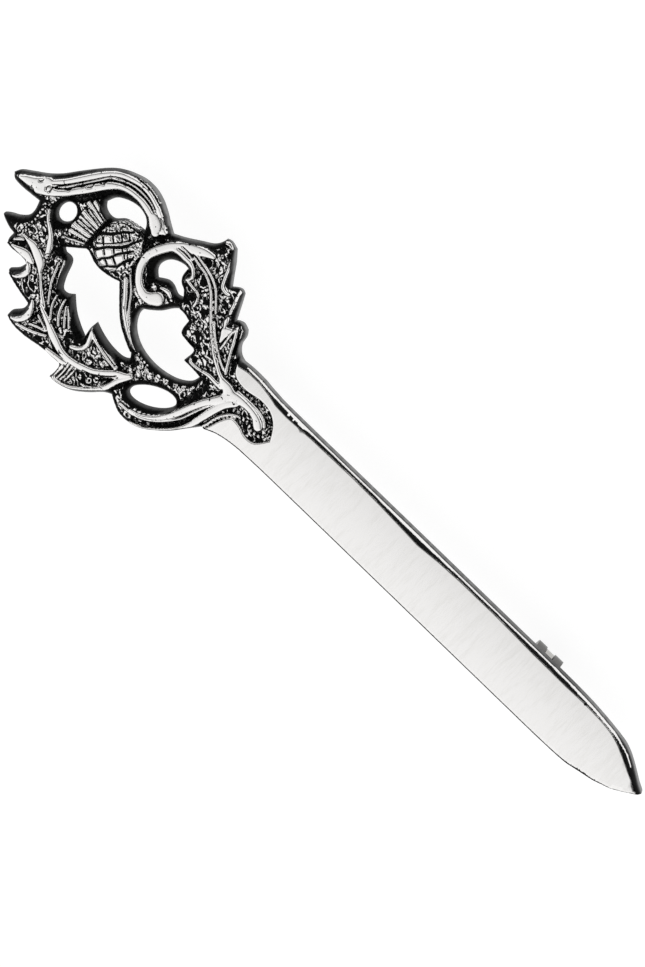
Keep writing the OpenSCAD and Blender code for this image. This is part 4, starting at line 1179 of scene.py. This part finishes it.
def build_needle(clasp):
    """Barrel round the rivet, and a wire that tapers to a point."""
    half, r = clasp.barrel_w / 2, BARREL_R
    bore = RIVET_R + BARREL_PLAY
    rows = [(-half, bore), (-half, r - 0.15), (-half + 0.04, r - 0.06), (-half + 0.15, r), (-0.9, r)]
    rows += [(-y, radius) for y, radius in reversed(rows)]
    barrel = place(lathe(rows, 48, closed=True), HINGE_AT, QUARTER_TURN)
    wire_r = clasp.wire_d / 2
    length = HINGE_AT[1] - clasp.tip_y
    neck = [(-0.55, 0), (-0.55, wire_r + 0.1), (-r + 0.02, wire_r + 0.18), (-r - 0.22, wire_r + 0.05),
            (-r - 0.6, wire_r)]
    body = [(-y, wire_r) for y in np.linspace(2.4, length - TAPER, 60)]
    point = [(-(length - TAPER * (1 - t)), NEEDLE_END_R + (wire_r - NEEDLE_END_R) * (1 - t**1.25))
             for t in np.linspace(0.08, 1, 16)]
    wire = lathe([*neck, *body, *point, (-length, 0)], 28)
    place(wire, HINGE_AT)
    return fuse("needle_and_barrel", steel(clasp), [barrel, wire])


def ring_outline(clasp):
    """A slotted ring hung from a foot that widens to the back, as [x, z] about the needle."""
    slot = RING_SLOT / 2
    out_a = math.degrees(math.asin(slot / clasp.ring_r))
    in_a = math.degrees(math.asin(slot / RING_BORE_R))
    foot = FOOT_W / 2
    meet = math.degrees(math.acos(foot / clasp.ring_r))
    top = NEEDLE_DEPTH + 0.05
    flare = [(foot + 0.03, top - 0.55), (foot + 0.1, top - 0.3), (foot + 0.3, top - 0.1),
             (foot + 0.45, top)]
    right = arc(clasp.ring_r, -90 + out_a, meet, 26) + flare
    left = [(-x, z) for x, z in reversed(right)]
    return right + left + arc(RING_BORE_R, 270 - in_a, -90 + in_a, 30)


def build_catch_rings(clasp):
    """Two slotted rings on soldered feet that carry the roller."""
    outline = ring_outline(clasp)
    forms = []
    for start in (-RING_MID_GAP / 2 - clasp.ring_len, RING_MID_GAP / 2):
        forms.append(place(prism(outline, start, start + clasp.ring_len), CATCH_AT))
        bead = solder_bead(FOOT_W / 2 + 0.6, clasp.ring_len / 2 + 0.28, 0.2)
        forms.append(place(bead, (CATCH_AT[0], CATCH_AT[1] + start + clasp.ring_len / 2, 0)))
    return fuse("catch_rings", clasp_silver(clasp), forms, (), 0.1, 3)


def build_catch_roller(clasp):
    """Slotted sleeve with a wider band and a ribbed thumb lever."""
    half = clasp.ring_len + RING_MID_GAP / 2 + 0.05
    band = BAND_W / 2
    rows = [(-half, ROLLER_BORE_R), (-half, ROLLER_R), (-band, ROLLER_R), (-band, BAND_R), (band, BAND_R),
            (band, ROLLER_R), (half, ROLLER_R), (half, ROLLER_BORE_R)]
    sleeve = lathe(rows, 64, closed=True)
    end = clasp.lever_r - LEVER_T / 2
    ribs = [(u, LEVER_T / 2 - (RIB_DEPTH if i % 2 else 0))
            for i, u in enumerate(np.linspace(end - RIB_SPAN, end, RIBS))]
    lever = [(1.0, -LEVER_T / 2)] + [(u, -w) for u, w in ribs] + arc(LEVER_T / 2, -75, 75, 9, (end, 0))
    lever += [(u, w) for u, w in reversed(ribs)] + [(1.0, LEVER_T / 2)]
    thumb = prism(lever, -band, band)
    thumb.transform(Matrix.Rotation(-math.radians(LEVER_AT), 4, "Y"))
    side = ROLLER_SLOT / 2
    slot = prism([(-side, -4), (side, -4), (side, 0), (-side, 0)], -4, 4)
    for form in (sleeve, thumb, slot):
        place(form, CATCH_AT)
    return fuse("roller_and_lever", nickel(clasp), [sleeve, thumb], [slot], 0.06, 2)


def feed(tree, node, inputs):
    """Gives each input of a node its value, or the output that feeds it."""
    for socket, value in inputs.items():
        if isinstance(value, bpy.types.NodeSocket):
            tree.links.new(value, node.inputs[socket])
        else:
            node.inputs[socket].default_value = value


def add(tree, kind, inputs=None, **fields):
    """A shader node with its fields set and its inputs fed."""
    node = tree.nodes.new("ShaderNode" + kind)
    for field, value in fields.items():
        setattr(node, field, value)
    feed(tree, node, inputs or {})
    return node


def calc(tree, operation, *values, **fields):
    """What a math node makes of the values."""
    return add(tree, "Math", dict(enumerate(values)), operation=operation, **fields).outputs[0]


def ramp(tree, value, low, high, start=0.0, end=1.0, kind="SMOOTHSTEP"):
    """A value that goes from start to end as the given one goes from low to high."""
    inputs = {"Value": value, "From Min": low, "From Max": high, "To Min": start, "To Max": end}
    return add(tree, "MapRange", inputs, interpolation_type=kind).outputs[0]


def stored(tree, name):
    """What the mesh's attribute of that name says at each point."""
    return add(tree, "Attribute", attribute_name=name).outputs["Fac"]


def object_at(tree):
    """Coordinates that stay with the object."""
    return add(tree, "TexCoord").outputs["Object"]


def speckle(tree, at, scale, detail, roughness=0.5):
    """Noise from 0 to 1 over the given coordinates."""
    inputs = {"Vector": at, "Scale": scale, "Detail": detail, "Roughness": roughness}
    return add(tree, "TexNoise", inputs).outputs["Fac"]


def node_material(name):
    """An empty node material with its output, and its shader."""
    material = bpy.data.materials.new(name)
    material.use_nodes = True
    tree = material.node_tree
    tree.nodes.clear()
    shader = add(tree, "BsdfPrincipled")
    add(tree, "OutputMaterial", {"Surface": shader.outputs["BSDF"]})
    return material, tree, shader


def node_group(name, inputs, outputs):
    """An empty node group with named sockets, or the one already made under that name."""
    if name in bpy.data.node_groups:
        return bpy.data.node_groups[name], None, None
    group = bpy.data.node_groups.new(name, "ShaderNodeTree")
    for socket, default in inputs.items():
        made = group.interface.new_socket(socket, in_out="INPUT", socket_type="NodeSocketFloat")
        made.default_value = default
    for socket in outputs:
        group.interface.new_socket(socket, in_out="OUTPUT", socket_type="NodeSocketFloat")
    return group, group.nodes.new("NodeGroupInput"), group.nodes.new("NodeGroupOutput")


def tarnish_group():
    """Cloudy tarnish: a mask from 0 on clean metal to 1 on dark, rubbed off where the part is worn."""
    sockets = {"Scale": 1500.0, "Amount": 0.5, "Softness": 0.25, "Wear": 0.0}
    group, given, out = node_group("tarnish", sockets, ["Mask"])
    if given is None:
        return group
    cloud = speckle(group, object_at(group), given.outputs["Scale"], 5.0, 0.6)
    clean = calc(group, "SUBTRACT", 1.0, given.outputs["Amount"])
    low = calc(group, "MULTIPLY_ADD", given.outputs["Wear"], 0.5, clean)
    high = calc(group, "ADD", low, given.outputs["Softness"])
    feed(group, out, {"Mask": ramp(group, cloud, low, high)})
    return group


def streak_group():
    """Fine lines of tools and polishing, squeezed along x and y: their height, and where they are deep."""
    sockets = {"Scale": 9000.0, "Across": 1.0, "Along": 0.05}
    group, given, out = node_group("polishing lines", sockets, ["Height", "Mask"])
    if given is None:
        return group
    scale, across, along = (given.outputs[socket] for socket in sockets)
    squeeze = add(group, "CombineXYZ", {"X": across, "Y": along, "Z": 1.0})
    drawn = add(group, "VectorMath", {0: object_at(group), 1: squeeze.outputs[0]}, operation="MULTIPLY")
    line = speckle(group, drawn.outputs[0], scale, 3.0, 0.7)
    feed(group, out, {"Height": line, "Mask": ramp(group, line, 0.62, 0.75, kind="LINEAR")})
    return group


def use_group(tree, group, **inputs):
    """The outputs of a group's node, with its inputs fed."""
    return add(tree, "Group", inputs, node_tree=group).outputs


def mix_colour(tree, factor, first, second):
    """Blends two colours, each a value or the output that gives it."""
    first, second = (c if isinstance(c, bpy.types.NodeSocket) else (*c, 1) for c in (first, second))
    return add(tree, "Mix", {0: factor, 6: first, 7: second}, data_type="RGBA").outputs[2]


def curled_grain(tree):
    """Bright curls of the stippled ground, more of them where the grain attribute is high."""
    lean = add(tree, "VectorRotate", {"Vector": object_at(tree), "Angle": -LEAF_LEAN},
               rotation_type="Z_AXIS")
    drawn = add(tree, "VectorMath", {0: lean.outputs[0], 1: (0.7, 1.0, 1.0)}, operation="MULTIPLY")
    curls = calc(tree, "MULTIPLY", speckle(tree, drawn.outputs[0], 1250.0, 1.5), 30.0)
    line = calc(tree, "SINE", curls)
    return ramp(tree, calc(tree, "MULTIPLY_ADD", stored(tree, "grain"), 1.8, line), 1.05, 1.45)


def brushed_silver(tree, finish):
    """The polished metal's colour, with faint rubbing marks across the blade."""
    lines = use_group(tree, streak_group(), Scale=1700.0, Across=0.2, Along=1.0)
    marks = ramp(tree, lines["Height"], 0.45, 0.8, 0.0, 0.7, "LINEAR")
    here = calc(tree, "MULTIPLY", marks, stored(tree, "blade"))
    return mix_colour(tree, here, finish.silver, finish.rubbed)


def antique_silver(finish):
    """Blackened casting with its ridges and the blade polished bright, painted light on its side walls and
    painted dark reflections on the blade's edges.
    """
    material, tree, shader = node_material("antique silver")
    # side is painted light: it mixes the walls from the patina to the paler side colour and makes them
    # metallic
    side = stored(tree, "side")
    fleck = speckle(tree, object_at(tree), 4500.0, 3.0)
    face = ramp(tree, calc(tree, "MULTIPLY_ADD", fleck, 0.8, stored(tree, "polish_and_painted_reflection")), 0.7, 0.88)
    mask = calc(tree, "MAXIMUM", face, curled_grain(tree))
    ground = mix_colour(tree, side, finish.patina, finish.side)
    feed(tree, shader, {
        "Base Color": mix_colour(tree, mask, ground, brushed_silver(tree, finish)),
        "Metallic": calc(tree, "MAXIMUM", mask, side),
        "Roughness": ramp(tree, mask, 0.0, 1.0, finish.patina_roughness, finish.silver_roughness, "LINEAR"),
        "Specular IOR Level": 0.06,
    })
    return material


def clasp_metal(name, colour, dark, roughness, tarnish, lines):
    """Metal with tarnish in its flats and hollows and fine lines of working, made once for each name.

    tarnish is its scale, amount and softness, and lines are their scale and how much they are
    squeezed along y.
    """
    if name in bpy.data.materials:
        return bpy.data.materials[name]
    material, tree, shader = node_material(name)
    scale, amount, softness = tarnish
    clouds = use_group(tree, tarnish_group(), Scale=scale, Amount=amount, Softness=softness,
                       Wear=stored(tree, "wear"))
    scale, along = lines
    streaks = use_group(tree, streak_group(), Scale=scale, Along=along)
    shade = calc(tree, "MULTIPLY_ADD", streaks["Mask"], 0.35, clouds["Mask"], use_clamp=True)
    bump = add(tree, "Bump", {"Height": streaks["Height"], "Strength": 0.25, "Distance": 0.00004})
    feed(tree, shader, {
        "Base Color": mix_colour(tree, shade, colour, dark),
        "Metallic": 1.0,
        "Roughness": ramp(tree, shade, 0.0, 1.0, roughness, roughness + 0.3, "LINEAR"),
        "Normal": bump.outputs[0],
    })
    return material


def nickel(clasp):
    """The turned metal of the rivet and the roller."""
    return clasp_metal("turned nickel", clasp.nickel, clasp.tarnish, 0.24, (1400.0, 0.55, 0.3),
                       (6000.0, 1.6))


def steel(clasp):
    """The needle's drawn wire."""
    return clasp_metal("drawn steel", clasp.steel, clasp.tarnish, 0.18, (1400.0, 0.38, 0.3),
                       (9000.0, 0.04))


def clasp_silver(clasp):
    """The blackened silver of the parts soldered to the back."""
    return clasp_metal("clasp silver", clasp.soldered, clasp.tarnish, 0.32, (900.0, 0.5, 0.35),
                       (3500.0, 0.5))


def back_silver(finish):
    """The casting's silver on its unpolished back."""
    return clasp_metal("back silver", finish.back, finish.back_dark, 0.34, (420.0, 0.56, 0.5),
                       (3500.0, 0.5))


def a_length(name, description, default, low, high):
    """A setting for a length in millimetres."""
    return FloatProperty(name=name, description=description + " in millimetres", default=default,
                         min=low, max=high)


def a_share(name, description, default, high=1.0):
    """A setting for a share or a strength, from none up."""
    return FloatProperty(name=name, description=description, default=default, min=0, max=high)


def an_angle(name, description, default):
    """A setting for an angle, its default in degrees."""
    return FloatProperty(name=name, description=description, subtype="ANGLE",
                         default=math.radians(default))


def a_colour(name, description, default):
    """A setting for a colour."""
    return FloatVectorProperty(name=name, description=description, subtype="COLOR", default=default,
                               min=0, max=1)


class CastingSettings(PropertyGroup):
    """Sizes of the casting and of its relief"""
    blade_w: a_length("Blade width", "Width of the blade", 6.8, 6, 7.2)
    ground: a_length("Ground height", "Leaf ground above the back", 1.85, 1.4, 2.1)
    grain_pitch: a_length("Grain pitch", "Pitch of the stippled ground", 0.31, 0.2, 1)
    grain_height: a_length("Grain height", "Rise of the stippling", 0.09, 0, 0.3)
    fine_step: a_length("Fine step", "Spacing of the relief's points", 0.085, 0.06, 0.3)


class FinishSettings(PropertyGroup):
    """Looks of the casting"""
    silver: a_colour("Silver", "Colour of the polished metal", (0.88, 0.87, 0.86))
    patina: a_colour("Patina", "Colour of the blackened ground", (0.004, 0.004, 0.004))
    # Painted light: the colour that the painted side light gives to walls that face right
    side: a_colour("Side", "Colour of the sides that face right", (0.2, 0.2, 0.2))
    rubbed: a_colour("Rubbed silver", "Colour of the marks across the blade", (0.78, 0.77, 0.75))
    back: a_colour("Back", "Colour of the unpolished metal on the back", (0.34, 0.335, 0.325))
    back_dark: a_colour("Back tarnish", "Colour of the back's tarnish", (0.09, 0.088, 0.085))
    silver_roughness: a_share("Silver roughness", "Roughness of the polished metal", 0.16)
    patina_roughness: a_share("Patina roughness", "Roughness of the ground", 0.45)


class ClaspSettings(PropertyGroup):
    """Sizes and looks of the clasp"""
    barrel_w: a_length("Barrel width", "Length of the needle's barrel", 2.4, 2.2, 4)
    ear_t: a_length("Ear thickness", "Thickness of the hinge's ears", 0.55, 0.4, 0.9)
    wire_d: a_length("Wire diameter", "Diameter of the needle", 1.0, 0.8, 1.05)
    tip_y: a_length("Needle end", "From the blade's tip to the needle's,", 11, 9, 14)
    ring_r: a_length("Ring radius", "Outer radius of the catch's rings", 2.5, 2.4, 2.6)
    ring_len: a_length("Ring length", "Length of each ring", 1.15, 0.8, 1.3)
    lever_r: a_length("Lever reach", "From the needle to the lever's end,", 3.2, 2.6, 3.3)
    steel: a_colour("Steel", "Colour of the needle", (0.66, 0.66, 0.67))
    nickel: a_colour("Nickel", "Colour of the rivet and the roller", (0.48, 0.47, 0.45))
    soldered: a_colour("Soldered silver", "Colour of the parts soldered on", (0.145, 0.142, 0.138))
    tarnish: a_colour("Tarnish", "Colour of the clasp's tarnish", (0.06, 0.058, 0.055))


class StudioSettings(PropertyGroup):
    """The camera, the floor and the light"""
    tilt: an_angle("Camera tilt", "Lean of the camera to the blade's right", 12)
    distance: a_length("Camera distance", "From the face,", 400, 100, 1000)
    floor: a_colour("Floor", "Colour of the floor", (0.3, 0.3, 0.3))
    glow: a_share("Floor glow", "Light that the floor gives of its own", 0.86, 2)
    light: a_share("Light", "Strength of the soft boxes", 1.05, 3)
    gap: a_share("Gap", "Strength of the dark gap between the soft boxes", 0.06)
    gap_from: an_angle("Gap from", "Lean at which the gap is dark", 8)
    gap_to: an_angle("Gap to", "Lean at which the right soft box starts", 36)


class KILTPIN_OT_casting(Operator):
    """Build the blade and the thistle head"""
    bl_idname = "kiltpin.casting"
    bl_label = "Thistle casting"

    def execute(self, context):
        scene = context.scene
        piece = build_casting(scene.kiltpin_casting)
        piece.data.materials.append(antique_silver(scene.kiltpin_finish))
        piece.data.materials.append(back_silver(scene.kiltpin_finish))
        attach(piece, "casting")
        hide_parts("casting")
        return {"FINISHED"}


class KILTPIN_OT_hinge_bracket(Operator):
    """Build the hinge's bracket on the back"""
    bl_idname = "kiltpin.hinge_bracket"
    bl_label = "Hinge bracket"

    def execute(self, context):
        piece = build_hinge_bracket(context.scene.kiltpin_clasp)
        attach(piece, "casting")
        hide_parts("casting")
        return {"FINISHED"}


class KILTPIN_OT_catch_rings(Operator):
    """Build the two rings of the catch"""
    bl_idname = "kiltpin.catch_rings"
    bl_label = "Catch rings"

    def execute(self, context):
        piece = build_catch_rings(context.scene.kiltpin_clasp)
        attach(piece, "casting")
        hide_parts("casting")
        return {"FINISHED"}


class KILTPIN_OT_hinge_rivet(Operator):
    """Build the hinge's rivet"""
    bl_idname = "kiltpin.hinge_rivet"
    bl_label = "Hinge rivet"

    def execute(self, context):
        piece = build_hinge_rivet(context.scene.kiltpin_clasp)
        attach(piece, "casting")
        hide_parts("hinge_rivet")
        return {"FINISHED"}


class KILTPIN_OT_needle(Operator):
    """Build the needle with its barrel"""
    bl_idname = "kiltpin.needle"
    bl_label = "Needle"

    def execute(self, context):
        piece = build_needle(context.scene.kiltpin_clasp)
        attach(piece, "needle")
        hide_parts("needle")
        return {"FINISHED"}


class KILTPIN_OT_catch_roller(Operator):
    """Build the catch's roller with its thumb lever"""
    bl_idname = "kiltpin.catch_roller"
    bl_label = "Catch roller"

    def execute(self, context):
        piece = build_catch_roller(context.scene.kiltpin_clasp)
        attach(piece, "catch")
        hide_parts("catch_roller")
        return {"FINISHED"}


def pale_floor(studio):
    """White lit table, clear from below so that the clasp can be looked at."""
    material, tree, shader = node_material("pale floor")
    feed(tree, shader, {"Base Color": (*studio.floor, 1), "Roughness": 0.9, "Specular IOR Level": 0.0,
                        "Emission Color": (1, 1, 1, 1), "Emission Strength": studio.glow})
    below = add(tree, "NewGeometry").outputs["Backfacing"]
    clear = add(tree, "BsdfTransparent")
    both = add(tree, "MixShader", {0: below, 1: shader.outputs[0], 2: clear.outputs[0]})
    output = next(node for node in tree.nodes if node.type == "OUTPUT_MATERIAL")
    feed(tree, output, {"Surface": both.outputs[0]})
    return material


def soft_boxes(studio):
    """Pale light all round, with a dark gap where the camera stands between two soft boxes."""
    world = bpy.data.worlds.new("studio")
    world.use_nodes = True
    tree = world.node_tree
    split = add(tree, "SeparateXYZ", {0: add(tree, "TexCoord").outputs["Generated"]})
    lean = calc(tree, "ARCTAN2", split.outputs["X"], split.outputs["Z"])
    left = ramp(tree, lean, studio.gap_from - LEFT_FADE, studio.gap_from)
    right = ramp(tree, lean, studio.gap_to, studio.gap_to + RIGHT_FADE, 1.0, 0.0)
    dark = calc(tree, "MULTIPLY", left, right)
    feed(tree, tree.nodes["Background"], {
        "Color": (1, 1, 1, 1),
        "Strength": ramp(tree, dark, 0.0, 1.0, studio.light, studio.gap, "LINEAR"),
    })
    return world


class KILTPIN_OT_stage(Operator):
    """Set the floor, the light and the camera"""
    bl_idname = "kiltpin.stage"
    bl_label = "Stage"

    def execute(self, context):
        scene = context.scene
        studio = scene.kiltpin_studio
        mesh = bpy.data.meshes.new("floor")
        corners = [(x * FLOOR_HALF, y * FLOOR_HALF, 0) for x, y in ((-1, -1), (1, -1), (1, 1), (-1, 1))]
        mesh.from_pydata(corners, [], [(0, 1, 2, 3)])
        floor = new_object("floor", mesh)
        floor.location.z = -FLOOR_DROP
        mesh.materials.append(pale_floor(studio))

        aim = Vector(to_frame([*VIEW_MIDDLE, FACE]))
        back = Vector((math.sin(studio.tilt), 0, math.cos(studio.tilt)))
        across = Vector((math.cos(studio.tilt), 0, -math.sin(studio.tilt)))
        along = Vector((0, 1, 0))
        right = across * BLADE_UP[1] + along * BLADE_UP[0]
        up = -across * BLADE_UP[0] + along * BLADE_UP[1]
        camera = bpy.data.objects.new("camera", bpy.data.cameras.new("camera"))
        scene.collection.objects.link(camera)
        camera.matrix_world = Matrix.Translation(aim + back * studio.distance * MM) @ Matrix(
            (right, up, back)).transposed().to_4x4()
        camera.data.sensor_width = SENSOR
        camera.data.lens = SENSOR * PIXELS_PER_MM * studio.distance / max(IMAGE_SIZE)
        camera.data.clip_start = 0.01
        camera.data.clip_end = 20
        scene.camera = camera

        scene.world = soft_boxes(studio)
        scene.view_settings.view_transform = "Standard"
        return {"FINISHED"}


class KILTPIN_PT_panel(Panel):
    """A button for each part of the kilt pin and for its stage"""
    bl_label = "Kilt pin"
    bl_space_type = "VIEW_3D"
    bl_region_type = "UI"
    bl_category = "Kilt pin"

    def draw(self, context):
        for operator in OPERATORS:
            self.layout.operator(operator.bl_idname)


OPERATORS = (KILTPIN_OT_casting, KILTPIN_OT_hinge_bracket, KILTPIN_OT_hinge_rivet, KILTPIN_OT_needle,
             KILTPIN_OT_catch_rings, KILTPIN_OT_catch_roller, KILTPIN_OT_stage)
SETTINGS = {"kiltpin_casting": CastingSettings, "kiltpin_finish": FinishSettings,
            "kiltpin_clasp": ClaspSettings, "kiltpin_studio": StudioSettings}


def register():
    for cls in (*SETTINGS.values(), *OPERATORS, KILTPIN_PT_panel):
        bpy.utils.register_class(cls)
    for name, group in SETTINGS.items():
        setattr(bpy.types.Scene, name, PointerProperty(type=group))


def unregister():
    for name in SETTINGS:
        delattr(bpy.types.Scene, name)
    for cls in reversed((*SETTINGS.values(), *OPERATORS, KILTPIN_PT_panel)):
        bpy.utils.unregister_class(cls)


def main():
    register()
    for operator in OPERATORS:
        group, name = operator.bl_idname.split(".")
        getattr(getattr(bpy.ops, group), name)()


if __name__ == "__main__":
    main()
